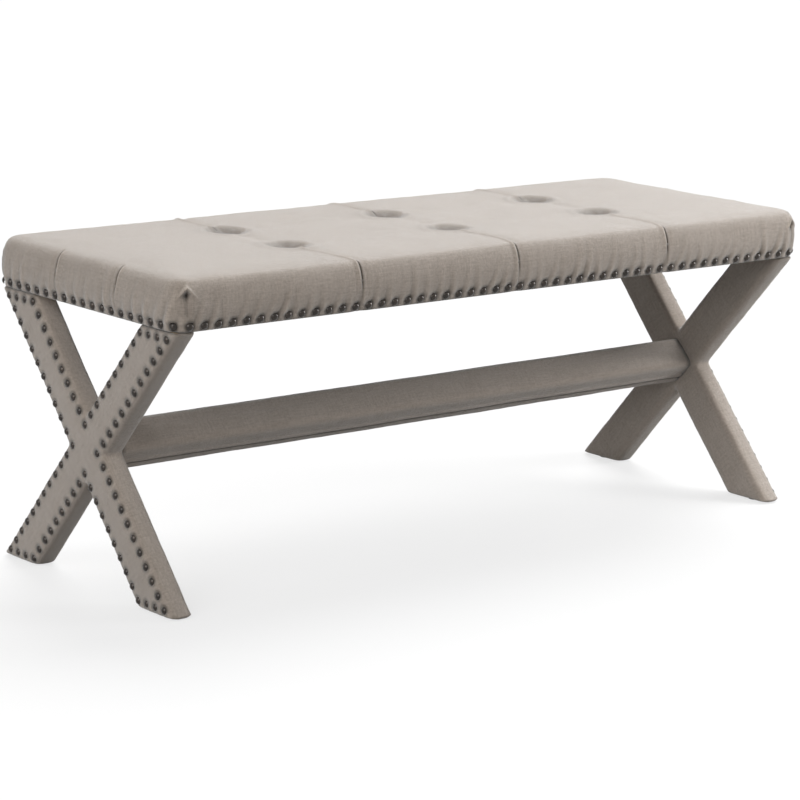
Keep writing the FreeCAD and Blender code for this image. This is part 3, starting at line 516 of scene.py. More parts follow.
seat = {
    "halfLength": 0.610,
    "halfDepth": 0.2285,
    "low": 0.408,
    "top": 0.485,
    "cornerRadius": 0.030,
    "edgeRadius": 0.019,
    "hemRadius": 0.003,
    "slack": 0.0010,            # it starts this much smaller, because it swells
    "voxel": 0.008,
    "finerBelow": 0.452,        # finer faces for the puckers, from the hem up to here
    "finerInset": 0.009,
    "finerAtPleats": (0.012, 0.0055),
    "finerAtFolds": (0.440, 0.446),
    "foldsBeyond": (0.575, 0.202),
    "foldsBelow": 0.478,
    "plainUnderside": (0.585, 0.205),
    # How it swells
    "pressure": 1.5,
    "stiffness": 40,
    "swellFrames": 20,
    "swellShare": 0.16,
    "swellCap": 0.0032,
    "foamStop": 0.0008,         # the foam stops the fabric going in further
    "quickSwell": 0.002,
    "sideCrown": 0.0032,
    "crownHeight": 0.058,
    # Tufts, and the valleys between them
    "tuftX": 0.305,
    "tuftY": 0.076,
    "tuftLow": 0.4727,          # the fabric's lowest point, just under its stitch
    "tuftRadius": 0.038,
    "tuftRim": (0.0, 0.010, 0.0022),
    "tuftPinch": (0.0, 0.007, -0.0008),
    "tuftGathers": (0.017, 0.008, 0.0009),
    # painted shade in each tuft's hollow, and a painted highlight on its rim
    "tuftPaintedShade": (0.0, 0.030, 0.84),
    "tuftPaintedHighlight": (0.0, 0.005, -0.12),
    "crossValley": (0.0, 0.014, -0.0016),
    "longValley": (0.0, 0.014, -0.0008),
    "tail": (0.0, 0.007, -0.0022),
    "tailStart": 0.012,
    "tailLength": 0.035,
    # Pleats: reach is how far inside the edge they begin to show
    "longPleat": {"reach": 0.140, "ridge": 1.0, "valley": (0.0, 0.009, -0.0009)},
    "endPleat": {"reach": 0.020, "ridge": 0.5, "valley": (0.0, 0.009, 0.0)},
    "leftDrift": 0.013,         # how far they lead aside as they go over the edge
    "rightDrift": 0.004,
    "endDrift": -0.011,
    "pleatWander": 0.0012,
    "pleatFaint": 0.25,         # its strength low on the side
    "pleatFades": (0.436, 0.456),
    "pleatGroove": (-0.0008, 0.0016, -0.0026),
    "pleatDip": (-0.0064, 0.0055, -0.0013),
    "pleatRoll": (0.0044, 0.0038, 0.0019),
    # painted shade in and beside the groove, and a painted highlight on the roll
    "pleatPaintedShades": ((-0.0006, 0.0016, 0.85), (-0.0035, 0.003, 0.2), (0.0035, 0.0022, -0.2)),
    # Nails, and the puckers between them
    "nailCount": 138,
    "nailLevel": 0.417,
    "nailSwell": 0.0020,        # fabric stands this much proud between the nails
    "pinchRadius": 0.0082,
    # painted shadow round each nail head, and painted shade along the bottom edge
    "nailPaintedShade": 0.65,
    "hemPaintedShade": 0.6,
    "puckerHeight": 0.0187,
    "puckerLean": (-0.05, 0.50),
    "puckerSize": (0.35, 1.25),
    "puckerReach": (0.6, 1.5),
    "puckerFold": (0.0, 0.0048, 0.0032),
    "puckerGroove": (-0.0080, 0.0034, -0.0016),
    # painted shade in each pucker's groove and a painted highlight on its ridge
    "puckerPaintedShade": (-0.0080, 0.0034, 0.42),
    "puckerPaintedHighlight": (0.001, 0.0026, -0.26),
    # A folded pleat on each corner: a pocket under a raised arch, and a line below it, with painted shade in
    # the pocket and along the line and a painted highlight on the arch
    "foldTurn": 20,             # degrees round the corner from the front
    "foldPeak": 0.461,
    "foldLine": (0.0, 0.0045, -0.0022),
    "foldLinePaintedShade": (0.0, 0.003, 0.25),
    "pocketWidth": 0.0048,
    "pocketHeight": 0.0060,
    "pocketDepth": 0.0050,
    "pocketPaintedShade": 0.75,
    "arch": (0.0, 0.0034, 0.0042),
    "archPaintedHighlight": (0.0, 0.0024, -0.3),
    "archAbove": 0.0068,
    "archSlope": 0.9,
    # Gentle unevenness: height and size of its waves
    "broadWaves": (0.0009, 0.085),
    "fineWaves": (0.00035, 0.022),
}
tufts = [(column * seat["tuftX"], row * seat["tuftY"]) for row in (-1, 1) for column in (-1, 0, 1)]
flatX = seat["halfLength"] - seat["cornerRadius"]       # the rounded corners begin here
flatY = seat["halfDepth"] - seat["cornerRadius"]
quarterLoop = flatX + flatY + seat["cornerRadius"] * math.pi / 2


def alongLoop(x, y):
    # Distance round the seat from the middle of the front, towards +X
    pastX = np.abs(x) - flatX
    pastY = np.abs(y) - flatY
    angle = np.arctan2(np.maximum(pastX, 0), np.maximum(pastY, 1e-9))
    onEnd = (pastY <= 0) & (pastX > pastY)
    onFront = (pastX <= 0) & ~onEnd
    quarter = flatX + seat["cornerRadius"] * angle
    quarter = np.where(onFront, np.abs(x), quarter)
    quarter = np.where(onEnd, quarterLoop - np.abs(y), quarter)
    place = np.where(y > 0, 2 * quarterLoop - quarter, quarter)
    return np.where(x < 0, 4 * quarterLoop - place, place)


def edgeDistance(x, y):
    # How far inside the seat's outline a place is, seen from above
    pastX = np.abs(x) - flatX
    pastY = np.abs(y) - flatY
    corner = np.hypot(np.maximum(pastX, 0), np.maximum(pastY, 0))
    return seat["cornerRadius"] - corner - np.minimum(np.maximum(pastX, pastY), 0)


def makeSeatForm():
    slack = seat["slack"]
    x, y = seat["halfLength"] - slack, seat["halfDepth"] - slack
    top = seat["top"] - slack
    form = addBlock("seatPad", (-x, -y, seat["low"]), (x, y, top))
    startEdit(form, "EDGE")
    roundEdges(form, seat["cornerRadius"] - slack, 6, lambda a, b: abs(a.z - b.z) > 0.01)
    roundEdges(form, seat["edgeRadius"] - slack, 6, lambda a, b: min(a.z, b.z) > top - 0.001)
    roundEdges(form, seat["hemRadius"], 2, lambda a, b: max(a.z, b.z) < seat["low"] + 0.001)
    endEdit()
    return form


def tuftShare(x, y):
    # 1 at the heart of a tuft, 0 past its rim
    share = np.zeros_like(x)
    for tuftX, tuftY in tufts:
        distance = np.minimum(np.hypot(x - tuftX, y - tuftY) / seat["tuftRadius"], 1)
        share += 0.5 + 0.5 * np.cos(math.pi * distance)
    return share


def inflate(pad, held):
    # Blows the fabric up as cloth, and keeps a share of its swelling, up to the cap
    group = pad.vertex_groups.new(name="held")
    for level in (0.35, 0.7, 1.0):
        picked = np.nonzero(held >= level)[0]
        group.add([int(number) for number in picked], level, "REPLACE")
    before = pointsOf(pad)
    outward = normalsOf(pad)
    cloth = pad.modifiers.new("swell", "CLOTH")
    cloth.settings.quality = 4
    cloth.settings.mass = 0.3
    cloth.settings.tension_stiffness = seat["stiffness"]
    cloth.settings.compression_stiffness = seat["stiffness"]
    cloth.settings.bending_stiffness = 1.0
    cloth.settings.use_pressure = True
    cloth.settings.uniform_pressure_force = seat["pressure"]
    cloth.settings.effector_weights.gravity = 0
    cloth.settings.vertex_group_mass = "held"
    cloth.point_cache.frame_start = 1
    cloth.point_cache.frame_end = seat["swellFrames"]
    for number in range(1, seat["swellFrames"] + 1):
        scene.frame_set(number)
    pickOnly(pad)
    bpy.ops.object.modifier_apply(modifier=cloth.name)
    scene.frame_set(1)
    out = np.sum((pointsOf(pad) - before) * outward, axis=1)
    cap, stop = seat["swellCap"], seat["foamStop"]
    kept = np.where(out > 0, cap * np.tanh(seat["swellShare"] * out / cap), stop * np.tanh(out / stop))
    movePoints(pad, before + outward * kept[:, None])
    pad.vertex_groups.clear()
    print("the seat swelled by up to", round(float(kept.max()) * 1000, 1), "mm")


def swellSeat(pad):
    # The tufts hold the top down and the nails hold the sides, and the rest swells
    points = pointsOf(pad)
    x, y, z = points.T
    onTop = ramp(z, seat["top"] - 0.02, seat["top"] - 0.006)
    share = tuftShare(x, y) * onTop
    points[:, 2] += (seat["tuftLow"] - points[:, 2]) * share
    movePoints(pad, points)
    atHem = 1 - ramp(z, seat["nailLevel"], seat["nailLevel"] + 0.012)
    held = np.clip(ramp(share, 0.5, 0.95) + atHem, 0, 1)
    inflate(pad, held)


def pleatLines():
    # Pleats run from each tuft over the nearest edges
    lines = []
    for tuftX, tuftY in tufts:
        drift = seat["leftDrift"] if tuftX < 0 else seat["rightDrift"]
        line = {"start": (tuftX, tuftY), "way": (0, math.copysign(1, tuftY)), "drift": drift}
        lines.append(line | seat["longPleat"])
        if tuftX != 0:
            line = {"start": (tuftX, tuftY), "way": (math.copysign(1, tuftX), 0), "drift": seat["endDrift"]}
            lines.append(line | seat["endPleat"])
    return lines


def pleatPlaces(x, y, line):
    # Distance inside the edge, across the pleat (positive on the side that lies on top) and past its tuft
    startX, startY = line["start"]
    wayX, wayY = line["way"]
    if wayX:
        toEdge = seat["halfLength"] - x * wayX
        across = y - startY
    else:
        toEdge = seat["halfDepth"] - y * wayY
        across = x - startX
    past = (x - startX) * wayX + (y - startY) * wayY
    across = across - line["drift"] * (1 - ramp(toEdge, 0.004, 0.045))
    return toEdge, -across, past


def nearPleat(x, y, z, width):
    near = np.zeros(x.shape, dtype=bool)
    for line in pleatLines():
        toEdge, across, past = pleatPlaces(x, y, line)
        shown = (past > 0.012) & (toEdge < line["reach"]) & (z > seat["low"] + 0.006)
        near |= shown & (np.abs(across) < width)
    return near


def nearFold(x, y, z, low):
    # Round the folded pleats on the corners
    beyondX, beyondY = seat["foldsBeyond"]
    return (np.abs(x) > beyondX) & (np.abs(y) > beyondY) & (z > low) & (z < seat["foldsBelow"])


def pleatRelief(x, y, z):
    # A roll of fabric over a groove, with a dip beyond it, fainter low down; painted shade darkens the groove
    # and a painted highlight lightens the roll
    lift = np.zeros(len(x))
    paintedShade = np.zeros(len(x))
    faint = seat["pleatFaint"]
    shown = faint + (1 - faint) * ramp(z, *seat["pleatFades"])
    shown *= ramp(z, seat["nailLevel"], seat["nailLevel"] + 0.011)
    for line in pleatLines():
        toEdge, across, past = pleatPlaces(x, y, line)
        across = across - seat["pleatWander"] * np.sin(past * 38 + line["start"][0] * 20)
        reach = line["reach"]
        strength = (1 - ramp(toEdge, reach - min(0.03, 0.6 * reach), reach)) * (past > 0) * shown
        lift += strength * (hump(across, seat["pleatGroove"]) + hump(across, seat["pleatDip"]))
        lift += strength * line["ridge"] * hump(across, seat["pleatRoll"])
        lift += (1 - strength) * ramp(past, 0.01, 0.03) * hump(across, line["valley"])
        # Painted shade in and beside the groove, and a painted highlight on the roll
        paintedShade += strength * sum(hump(across, shape) for shape in seat["pleatPaintedShades"])
    return lift, paintedShade


def valleyRelief(x, y):
    # Soft valleys between neighbouring tufts, and a short tail on one side of each
    lift = np.zeros(len(x))
    for column in (-1, 0, 1):
        lift += hump(x - column * seat["tuftX"], seat["crossValley"]) * (1 - ramp(np.abs(y), 0.06, 0.09))
    for row in (-1, 1):
        lift += hump(y - row * seat["tuftY"], seat["longValley"]) * (1 - ramp(np.abs(x), 0.29, 0.33))
    for tuftX, tuftY in tufts:
        past = x - tuftX - seat["tailStart"]
        fade = ramp(past, 0, 0.012) * bump(np.maximum(past, 0), seat["tailLength"])
        lift += fade * hump(y - tuftY, seat["tail"])
    return lift


def crownRelief(z, inside):
    # The sides bulge between the nail row and the rounded edge
    belly = np.sin(math.pi * np.clip((z - seat["nailLevel"]) / seat["crownHeight"], 0, 1))
    return seat["sideCrown"] * belly * ramp(-inside, -0.020, -0.004)


def nailRelief(loop, z, draws):
    # Nails pinch the fabric, and folds rise between them and die away above; painted shadow rings each nail,
    # painted shade lines the bottom edge and the pucker grooves, and a painted highlight lies on each
    # pucker's ridge
    count = seat["nailCount"]
    pitch = 4 * quarterLoop / count
    step = np.floor(loop / pitch)
    lean, size, reach = (np.array([draws.uniform(*seat[limits]) for _ in range(count)])
                         for limits in ("puckerLean", "puckerSize", "puckerReach"))
    fromNail = np.hypot(loop - (step + 0.5) * pitch, z - seat["nailLevel"])
    lift = seat["nailSwell"] * (1 - bump(fromNail, seat["pinchRadius"]))
    lift *= ramp(z, seat["low"], seat["low"] + 0.004) * (1 - 0.6 * ramp(z, 0.44, 0.47))
    # Painted shadow round each nail head, and painted shade along the bottom edge
    paintedShade = seat["nailPaintedShade"] * bump(np.maximum(fromNail - nailRim, 0), 0.0022)
    paintedShade += seat["hemPaintedShade"] * (1 - ramp(z, seat["low"] + 0.0005, seat["low"] + 0.003))
    above = np.maximum(z - seat["nailLevel"], 0)
    for shift in (-1, 0, 1):
        number = (step.astype(int) + shift) % count
        across = loop - (step + shift + 1) * pitch - lean[number] * above
        strength = size[number] * np.exp(-above / (seat["puckerHeight"] * reach[number]))
        strength *= ramp(above, 0.0, 0.007)
        lift += strength * (hump(across, seat["puckerFold"]) + hump(across, seat["puckerGroove"]))
        # Painted shade in the groove and a painted highlight on the ridge
        paintedShade += strength * (hump(across, seat["puckerPaintedShade"]) + hump(across, seat["puckerPaintedHighlight"]))
    return lift, paintedShade


def cornerRelief(loop, z, draws):
    # The folded pleats, each a little different, with their painted shade and painted highlight
    lift = np.zeros(len(loop))
    paintedShade = np.zeros(len(loop))
    turn = math.radians(seat["foldTurn"])
    cornerX = flatX + seat["cornerRadius"] * math.sin(turn)
    cornerY = flatY + seat["cornerRadius"] * math.cos(turn)
    for signX in (-1, 1):
        for signY in (-1, 1):
            corner = alongLoop(np.array([signX * cornerX]), np.array([signY * cornerY]))[0]
            across = loop - corner - draws.uniform(-0.0015, 0.0015)
            below = seat["foldPeak"] + draws.uniform(-0.003, 0.002) - z
            line = ramp(below, -0.001, 0.004) * (1 - ramp(below, 0.026, 0.04))
            pocket = bump(across, seat["pocketWidth"]) * bump(below - 0.002, seat["pocketHeight"])
            fromArch = np.abs(below + seat["archAbove"] - np.abs(across) * seat["archSlope"])
            lift += line * hump(across, seat["foldLine"]) - seat["pocketDepth"] * pocket
            lift += hump(fromArch, seat["arch"]) * bump(across, 0.012)
            # Painted shade in the pocket and along the line, and a painted highlight on the arch
            paintedShade += line * hump(across, seat["foldLinePaintedShade"]) + seat["pocketPaintedShade"] * pocket
            paintedShade += hump(fromArch, seat["archPaintedHighlight"]) * bump(across, 0.011)
    return lift, paintedShade


def tuftRelief(x, y):
    # A tight pinch at the heart of each tuft, small gathers round it and a soft rim; painted shade darkens
    # the hollow and a painted highlight lightens the rim
    rise = np.zeros(len(x))
    paintedShade = np.zeros(len(x))
    for tuftX, tuftY in tufts:
        distance = np.hypot(x - tuftX, y - tuftY)
        angle = np.arctan2(y - tuftY, x - tuftX)
        fromRim = distance - seat["tuftRadius"]
        rise += np.cos(6 * angle + tuftX * 11) * hump(distance, seat["tuftGathers"])
        rise += hump(distance, seat["tuftPinch"]) + hump(fromRim, seat["tuftRim"])
        # Painted shade in the hollow and a painted highlight on the rim
        paintedShade += hump(distance, seat["tuftPaintedShade"]) + hump(fromRim, seat["tuftPaintedHighlight"])
    return rise, paintedShade


def dressSeat(pad):
    points = pointsOf(pad)
    x, y, z = points.T.copy()
    inside = edgeDistance(x, y)
    loop = alongLoop(x, y)
    onSide = ramp(-inside, -0.016, -0.006) * (z > seat["low"] + 0.0005)
    onTop = ramp(z, seat["top"] - 0.03, seat["top"] - 0.012)
    draws = random.Random(7)
    pleatLift, pleatPaintedLight = pleatRelief(x, y, z)
    nailLift, nailPaintedLight = nailRelief(loop, z, draws)
    cornerLift, cornerPaintedLight = cornerRelief(loop, z, draws)
    tuftRise, tuftPaintedLight = tuftRelief(x, y)
    lift = pleatLift + onTop * valleyRelief(x, y) + crownRelief(z, inside) + onSide * (nailLift + cornerLift)
    lift += waves(points, seat["broadWaves"], 3.0) * ramp(z, seat["low"] + 0.01, seat["low"] + 0.04)
    lift += waves(points, seat["fineWaves"], 9.0) * ramp(z, seat["low"] + 0.01, seat["low"] + 0.03)
    points += normalsOf(pad) * lift[:, None]
    points[:, 2] += onTop * tuftRise
    movePoints(pad, points)
    # Painted shade and painted highlight from the pleats, nails, corners and tufts
    paintedShade = pleatPaintedLight + onSide * (nailPaintedLight + cornerPaintedLight) + onTop * tuftPaintedLight
    keepPaintedShade(pad, np.clip(paintedShade, -0.3, 0.85))


def seatWeave(places, centres, facing):
    # Unrolls the cover over its rounded edge
    radius = seat["edgeRadius"]
    x, y, z = places.T
    depth = np.maximum(seat["top"] - z, 0)
    edges = []
    for place, half in ((x, seat["halfLength"]), (y, seat["halfDepth"])):
        past = np.maximum(np.abs(place) - (half - radius), 0)
        arc = radius * np.arctan2(past, np.maximum(radius - depth, 1e-6))
        arc = np.where(depth > radius, radius * math.pi / 2 + depth - radius, arc)
        edges.append(np.where(past > 0, np.sign(place) * (half - radius + arc), place))
    pastX = np.abs(centres[:, 0]) - (seat["halfLength"] - radius)
    pastY = np.abs(centres[:, 1]) - (seat["halfDepth"] - radius)
    overEnd = pastX > pastY
    return np.stack([np.where(overEnd, edges[0], x), np.where(overEnd, y, edges[1])], axis=1)


def mergeUnderside(pad):
    # The flat underside, mostly behind the dust cover, needs only one face
    insideX, insideY = seat["plainUnderside"]
    startEdit(pad, "FACE")
    mesh = bmesh.from_edit_mesh(pad.data)
    for face in mesh.faces:
        middle = face.calc_center_median()
        flat = middle.z < seat["low"] + 0.0003
        face.select_set(flat and abs(middle.x) < insideX and abs(middle.y) < insideY)
    bmesh.update_edit_mesh(pad.data)
    bpy.ops.mesh.dissolve_faces()
    endEdit()


def makeSeatPad():
    finer, inset = seat["finerBelow"], seat["finerInset"]
    wide, narrow = seat["finerAtPleats"]
    pad = makeSeatForm()
    remesh(pad, seat["voxel"])
    swellSeat(pad)
    finishWith(pad, "SUBSURF", levels=1, render_levels=1)
    refine(pad, lambda x, y, z: (edgeDistance(x, y) < inset) & (z > seat["low"] + 0.001) & (z < finer))
    refine(pad, lambda x, y, z: nearPleat(x, y, z, wide) & ((z > finer) | (edgeDistance(x, y) > inset)))
    refine(pad, lambda x, y, z: nearPleat(x, y, z, narrow))
    for level in seat["finerAtFolds"]:
        refine(pad, lambda x, y, z: nearFold(x, y, z, level))
    dressSeat(pad)
    mergeUnderside(pad)
    upholster(pad, seatWeave)
    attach(pad, "root")
    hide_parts("seat_cover", "seat_wadding")
    print("seat pad:", len(pad.data.polygons), "faces")


makeSeatPad()


# Leg frames

legs = {
    "outer": 0.606,
    "inner": 0.569,
    "low": 0.003,
    "top": 0.4079,
    "fullTop": 0.408,
    "halfRun": 0.1785,
    "endWidth": 0.088,
    "edgeRadius": 0.008,
    "endRadius": 0.0010,
    "faceCrown": 0.0008,
    "sideCrown": 0.0014,
    "voxel": 0.005,
    "nailSwell": 0.0009,
    "pinchRadius": 0.0085,
    # painted shadow round each nail head
    "nailPaintedShade": 0.6,
    # painted shade at the top under the seat and at the foot above the floor
    "underSeatPaintedShade": 0.7,        # under the seat
    "footPaintedShade": 0.4,       # above the floor
    "broadWaves": (0.0006, 0.06),
    "fineWaves": (0.0003, 0.016),
}


def barMiddle(z, lean):
    return lean * legs["halfRun"] * (2 * z / legs["fullTop"] - 1)


def makeLeaningBar(name, side, lean):
    # A block whose top is slid along Y, with its long edges rounded
    halfWidth = legs["endWidth"] / 2
    startY = barMiddle(legs["low"], lean)
    low = (min(side * legs["outer"], side * legs["inner"]), startY - halfWidth, legs["low"])
    high = (max(side * legs["outer"], side * legs["inner"]), startY + halfWidth, legs["top"])
    bar = addBlock(name, low, high)
    startEdit(bar, "VERT")
    mesh = bmesh.from_edit_mesh(bar.data)
    for vertex in mesh.verts:
        vertex.select_set(vertex.co.z > legs["top"] - 0.001)
    bmesh.update_edit_mesh(bar.data)
    slide = barMiddle(legs["top"], lean) - startY
    bpy.ops.transform.translate(value=(0, slide, 0))
    bpy.ops.mesh.select_mode(type="EDGE")
    roundEdges(bar, legs["edgeRadius"], 4, lambda a, b: abs(a.z - b.z) > 0.1)
    roundEdges(bar, legs["endRadius"], 2, lambda a, b: abs(a.z - b.z) < 0.001)
    endEdit()
    return bar


def nailPlaces(node, side):
    # Middles of the nail heads on a leg frame, read from their highest points
    points = pointsOf(cadNodes[node])
    apex = points[points[:, 0] * side > np.max(points[:, 0] * side) - 0.0001]
    found = []
    for point in apex:
        if all(abs(point[1] - y) + abs(point[2] - z) > 0.008 for y, z in found):
            found.append((point[1], point[2]))
    return found


def dressLeg(cover, side, nails):
    points = pointsOf(cover)
    normals = normalsOf(cover)
    x, y, z = points.T.copy()
    onFace = ramp(normals[:, 0] * side, 0.55, 0.9)
    pinch = np.zeros(len(points))
    paintedShade = np.zeros(len(points))
    for nailY, nailZ in nails:
        distance = np.hypot(y - nailY, z - nailZ)
        pinch = np.maximum(pinch, bump(distance, legs["pinchRadius"]))
        # Painted shadow round each nail head
        shade = bump(np.maximum(distance - nailRim, 0), 0.0020)
        paintedShade = np.maximum(paintedShade, legs["nailPaintedShade"] * onFace * shade)
    # The faces swell between the nails, and every side is a little round
    inBar = np.minimum(np.abs(y - barMiddle(z, 1)), np.abs(y - barMiddle(z, -1)))
    crown = 1 - np.clip(inBar / (legs["endWidth"] / 2), 0, 1) ** 2
    lift = onFace * (legs["nailSwell"] * (1 - pinch) + legs["faceCrown"] * crown)
    middle = (legs["outer"] + legs["inner"]) / 2
    fromMiddle = np.clip((np.abs(x) - middle) / (legs["outer"] - middle), -1, 1)
    lift += (1 - onFace) * legs["sideCrown"] * (1 - fromMiddle ** 2)
    uneven = waves(points, legs["broadWaves"], 5.0 + side) + waves(points, legs["fineWaves"], 2.0)
    free = ramp(z, legs["low"], legs["low"] + 0.02) * (1 - ramp(z, legs["top"] - 0.01, legs["top"]))
    lift += free * uneven
    lift *= ramp(1 - np.abs(normals[:, 2]), 0.0, 0.1)       # the two ends stay flat
    movePoints(cover, points + normals * lift[:, None])
    # Painted shade at the top under the seat and at the foot above the floor
    paintedShade += legs["underSeatPaintedShade"] * ramp(z, legs["top"] - 0.0035, legs["top"] - 0.0005)
    paintedShade += legs["footPaintedShade"] * (1 - ramp(z, legs["low"], legs["low"] + 0.002))
    keepPaintedShade(cover, np.clip(paintedShade, 0, 0.8))


def legWeave(places, centres, facing):
    # Threads run along each arm of the X
    x, y, z = places.T
    lean = np.where(centres[:, 1] * (centres[:, 2] - legs["fullTop"] / 2) > 0, 1, -1)
    run = 2 * legs["halfRun"]
    reach = math.hypot(run, legs["fullTop"])
    along = (z * legs["fullTop"] + lean * y * run) / reach
    across = (y * legs["fullTop"] - lean * z * run) / reach
    onFace = np.abs(facing[:, 0]) > 0.6
    return np.stack([along, np.where(onFace, across, x + 0.3 * np.sign(facing[:, 1]))], axis=1)


def makeLegCover(label, side):
    cover = makeLeaningBar(label + "LegCover", side, 1)
    other = makeLeaningBar(label + "OtherBar", side, -1)
    finishWith(cover, "BOOLEAN", object=other, operation="UNION", solver="EXACT")
    bpy.data.objects.remove(other)
    remesh(cover, legs["voxel"])
    finishWith(cover, "SUBSURF", levels=1, render_levels=1)
    dressLeg(cover, side, nailPlaces(label + "_leg_nails", side))
    upholster(cover, legWeave)
    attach(cover, "root")
    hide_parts(label + "_leg_cover", label + "_leg_wadding")
    print(label, "leg cover:", len(cover.data.polygons), "faces")


makeLegCover("left", -1)
makeLegCover("right", 1)


# Rail between the crossings

rail = {
    "halfLength": 0.5687,
    "width": 0.056,
    "level": 0.204,
    "edgeRadius": 0.009,
    "lengthCuts": 190,
    "sideCuts": 9,
    "crown": 0.0012,
    # painted shade at both ends, where the rail meets the legs
    "endPaintedShade": 0.8,
    # The seam runs along the lower front face; across it, upwards, come its roll, groove, painted shade and
    # painted highlight
    "seamHeight": 0.0145,   # above the lower ridge
    "seamWander": 0.0012,
    "seamRoll": (0.0055, 0.004, 0.0016),
    "seamGroove": (0.0, 0.0018, -0.0020),
    "seamPaintedShade": (0.0, 0.0026, 0.8),
    "seamPaintedHighlight": (-0.008, 0.005, -0.15),
    "finerAtSeam": (0.0220, 0.0065, 0.0035),
    "broadWaves": (0.0009, 0.05),
    "fineWaves": (0.0003, 0.017),
}
railHalfHeight = rail["width"] / math.sqrt(2)


def dressRail(cover):
    points = pointsOf(cover)
    normals = normalsOf(cover)
    x, y, z = points.T.copy()
    height = z - rail["level"]
    onLowerFront = (y < 0.002) & (height < 0)
    seam = (height + railHalfHeight - rail["seamHeight"]) * math.sqrt(2) - rail["seamWander"] * np.sin(x * 9)
    lift = onLowerFront * (hump(seam, rail["seamRoll"]) + hump(seam, rail["seamGroove"]))
    # Painted shade in the seam's groove and a painted highlight below it
    paintedShade = onLowerFront * (hump(seam, rail["seamPaintedShade"]) + hump(seam, rail["seamPaintedHighlight"]))
    # Painted shade at both ends, where the rail meets the legs
    paintedShade += rail["endPaintedShade"] * ramp(np.abs(x), rail["halfLength"] - 0.009, rail["halfLength"] - 0.002)
    fromRidge = np.minimum(np.abs(np.abs(y) - np.abs(height)), railHalfHeight)
    lift += rail["crown"] * (1 - fromRidge / railHalfHeight)
    free = 1 - ramp(np.abs(x), rail["halfLength"] - 0.03, rail["halfLength"])
    uneven = waves(points * (0.4, 1, 1), rail["broadWaves"], 4.0) + waves(points, rail["fineWaves"], 8.0)
    lift += free * uneven
    lift *= 1 - ramp(np.abs(normals[:, 0]), 0.5, 0.9)
    movePoints(cover, points + normals * lift[:, None])
    keepPaintedShade(cover, np.clip(paintedShade, -0.2, 0.8))


def railWeave(places, centres, facing):
    # Unrolls the rail's four sides
    angle = np.arctan2(places[:, 2] - rail["level"], places[:, 1])
    middle = np.arctan2(centres[:, 2] - rail["level"], centres[:, 1])
    angle = np.where(angle - middle > math.pi, angle - 2 * math.pi, angle)
    angle = np.where(middle - angle > math.pi, angle + 2 * math.pi, angle)
    return np.stack([places[:, 0], angle * 4 * rail["width"] / (2 * math.pi)], axis=1)


def makeRailCover():
    half = rail["width"] / 2
    cover = addBlock("stretcherPad", (-rail["halfLength"], -half, -half), (rail["halfLength"], half, half))
    cover.rotation_euler = (math.pi / 4, 0, 0)
    cover.location = (0, 0, rail["level"])
    settle(cover)
    startEdit(cover, "EDGE")
    roundEdges(cover, rail["edgeRadius"], 4, lambda a, b: abs(a.x - b.x) > 0.1)
    pickEdges(cover, lambda a, b: abs(a.x - b.x) < 0.001 and (a - b).length > 0.02)
    bpy.ops.mesh.subdivide(number_cuts=rail["sideCuts"])
    pickEdges(cover, lambda a, b: abs(a.x - b.x) > 0.1)
    bpy.ops.mesh.subdivide(number_cuts=rail["lengthCuts"])
    endEdit()
    seamLevel = rail["level"] - railHalfHeight + rail["seamHeight"]
    for reach in rail["finerAtSeam"]:
        refine(cover, lambda x, y, z: (y < 0) & (np.abs(z - seamLevel) < reach))
    dressRail(cover)
    upholster(cover, railWeave, 60.0)
    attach(cover, "root")
    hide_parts("stretcher_cover", "stretcher_wadding")
    print("stretcher:", len(cover.data.polygons), "faces")


makeRailCover()


# Dust cover under the seat

dustSheet = {
    "halfLength": 0.566,
    "halfDepth": 0.2165,
    "level": 0.4079,
    "thickness": 0.0004,
    "sag": 0.0035,
    "ripple": 0.07,
}


def makeDustCover():
    bpy.ops.object.select_all(action="DESELECT")
    bpy.ops.mesh.primitive_grid_add(x_subdivisions=142, y_subdivisions=54, size=1,
                                    location=(0, 0, dustSheet["level"]))
    sheet = bpy.context.object
    sheet.name = "dustCover"
    sheet.scale = (2 * dustSheet["halfLength"], 2 * dustSheet["halfDepth"], 1)
    settle(sheet)
    points = pointsOf(sheet)
    x, y, z = points.T
    fromEdge = np.minimum(dustSheet["halfLength"] - np.abs(x), dustSheet["halfDepth"] - np.abs(y))
    ripples = 0.5 + 0.5 * softNoise(points * (1, 1, 0), dustSheet["ripple"], 6.0)
    z -= dustSheet["sag"] * ramp(fromEdge, 0.012, 0.09) * (0.5 + 0.5 * ripples)
    movePoints(sheet, points)
    layWeave(sheet, lambda places, centres, facing: places[:, :2])
    finishWith(sheet, "SOLIDIFY", thickness=dustSheet["thickness"], offset=-1)
    smoothShade(sheet, 60.0)
    sheet.data.materials.append(dustCloth)
    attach(sheet, "root")
    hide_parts("dust_cover")
    print("dust cover:", len(sheet.data.polygons), "faces")


makeDustCover()


# Floor, light and camera

studio = {
    "floorColour": (0.25, 0.25, 0.25, 1),
    "floorGlow": 0.72,
    "skyStrength": 0.22,
}
# Each distant lamp: the way towards it, its strength and its width in degrees
lamps = {
    "key": ((0.52, 0.34, 0.78), 3.00, 40.0),
    "sideFill": ((-0.80, -0.24, 0.50), 1.35, 45.0),
}
nearLamp = {
    "place": (2.1, -1.15, 1.0),
    "aim": (0.2, 0.0, 0.3),
    "power": 28.0,
    "size": 0.8,
}


def seenDirectly(tree):
    # 1 for the camera's own rays, also through a reflection or glass
    paths = put(tree, "LightPath").outputs
    bounced = sums(tree, "MAXIMUM", paths["Is Glossy Ray"], paths["Is Transmission Ray"])
    return sums(tree, "MAXIMUM", paths["Is Camera Ray"], bounced)


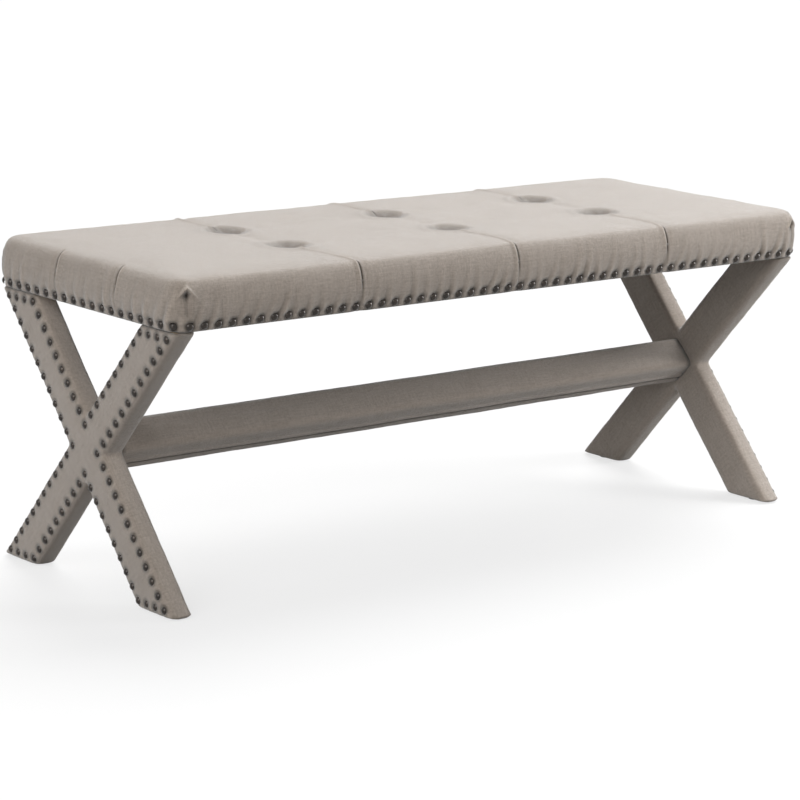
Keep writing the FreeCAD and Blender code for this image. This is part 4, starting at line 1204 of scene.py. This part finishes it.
def makeFloor():
    bpy.ops.object.select_all(action="DESELECT")
    bpy.ops.mesh.primitive_plane_add(size=80, location=(0, 0, 0))
    floor = bpy.context.object
    floor.name = "floor"
    material = bpy.data.materials.new("paleFloor")
    material.use_nodes = True
    tree = material.node_tree
    tree.nodes.clear()
    strength = sums(tree, "MULTIPLY", seenDirectly(tree), studio["floorGlow"])
    glow = put(tree, "Emission", {"Color": (1, 1, 1, 1), "Strength": strength})
    matt = put(tree, "BsdfDiffuse", {"Color": studio["floorColour"]})
    both = put(tree, "AddShader", {0: glow.outputs[0], 1: matt.outputs[0]})
    put(tree, "OutputMaterial", {"Surface": both.outputs[0]})
    floor.data.materials.append(material)


def makeSky():
    world = bpy.data.worlds.new("studio")
    world.use_nodes = True
    tree = world.node_tree
    tree.nodes.clear()
    level = put(tree, "Mix", {0: seenDirectly(tree), 2: studio["skyStrength"], 3: 1.0}).outputs[0]
    back = put(tree, "Background", {"Color": (1, 1, 1, 1), "Strength": level})
    put(tree, "OutputWorld", {"Surface": back.outputs[0]})
    scene.world = world


def hangLamp(name, kind, way, power):
    light = bpy.data.lights.new(name, kind)
    light.energy = power
    lamp = bpy.data.objects.new(name, light)
    lamp.rotation_euler = Vector(way).to_track_quat("Z", "Y").to_euler()
    scene.collection.objects.link(lamp)
    return lamp


def makeLamps():
    for name, (way, strength, width) in lamps.items():
        hangLamp(name, "SUN", way, strength).data.angle = math.radians(width)
    way = Vector(nearLamp["place"]) - Vector(nearLamp["aim"])
    lamp = hangLamp("nearLamp", "AREA", way, nearLamp["power"])
    lamp.location = nearLamp["place"]
    lamp.data.size = nearLamp["size"]
    lamp.visible_camera = False


view = {
    "azimuth": -39.5436,
    "elevation": 12.2922,
    "distance": 4.636,
    "aim": (-0.02195, 0.00426, 0.2053),
    "lens": 134.68,
    "roll": 1.3505,
}


def makeCamera():
    camera = bpy.data.cameras.new("camera")
    camera.lens = view["lens"]
    camera.sensor_width = 36
    camera.clip_end = 200
    holder = bpy.data.objects.new("camera", camera)
    scene.collection.objects.link(holder)
    turn, rise = math.radians(view["azimuth"]), math.radians(view["elevation"])
    roll = math.radians(view["roll"])
    back = Vector((math.sin(turn) * math.cos(rise), -math.cos(turn) * math.cos(rise), math.sin(rise)))
    right = Vector((math.cos(turn), math.sin(turn), 0))
    up = back.cross(right)
    rolledRight = right * math.cos(roll) + up * math.sin(roll)
    rolledUp = up * math.cos(roll) - right * math.sin(roll)
    axes = Matrix((rolledRight, rolledUp, back)).transposed()
    holder.matrix_world = Matrix.Translation(Vector(view["aim"]) + back * view["distance"]) @ axes.to_4x4()
    scene.camera = holder


makeFloor()
makeSky()
makeLamps()
makeCamera()
scene.view_settings.view_transform = "Standard"
print("studio ready")
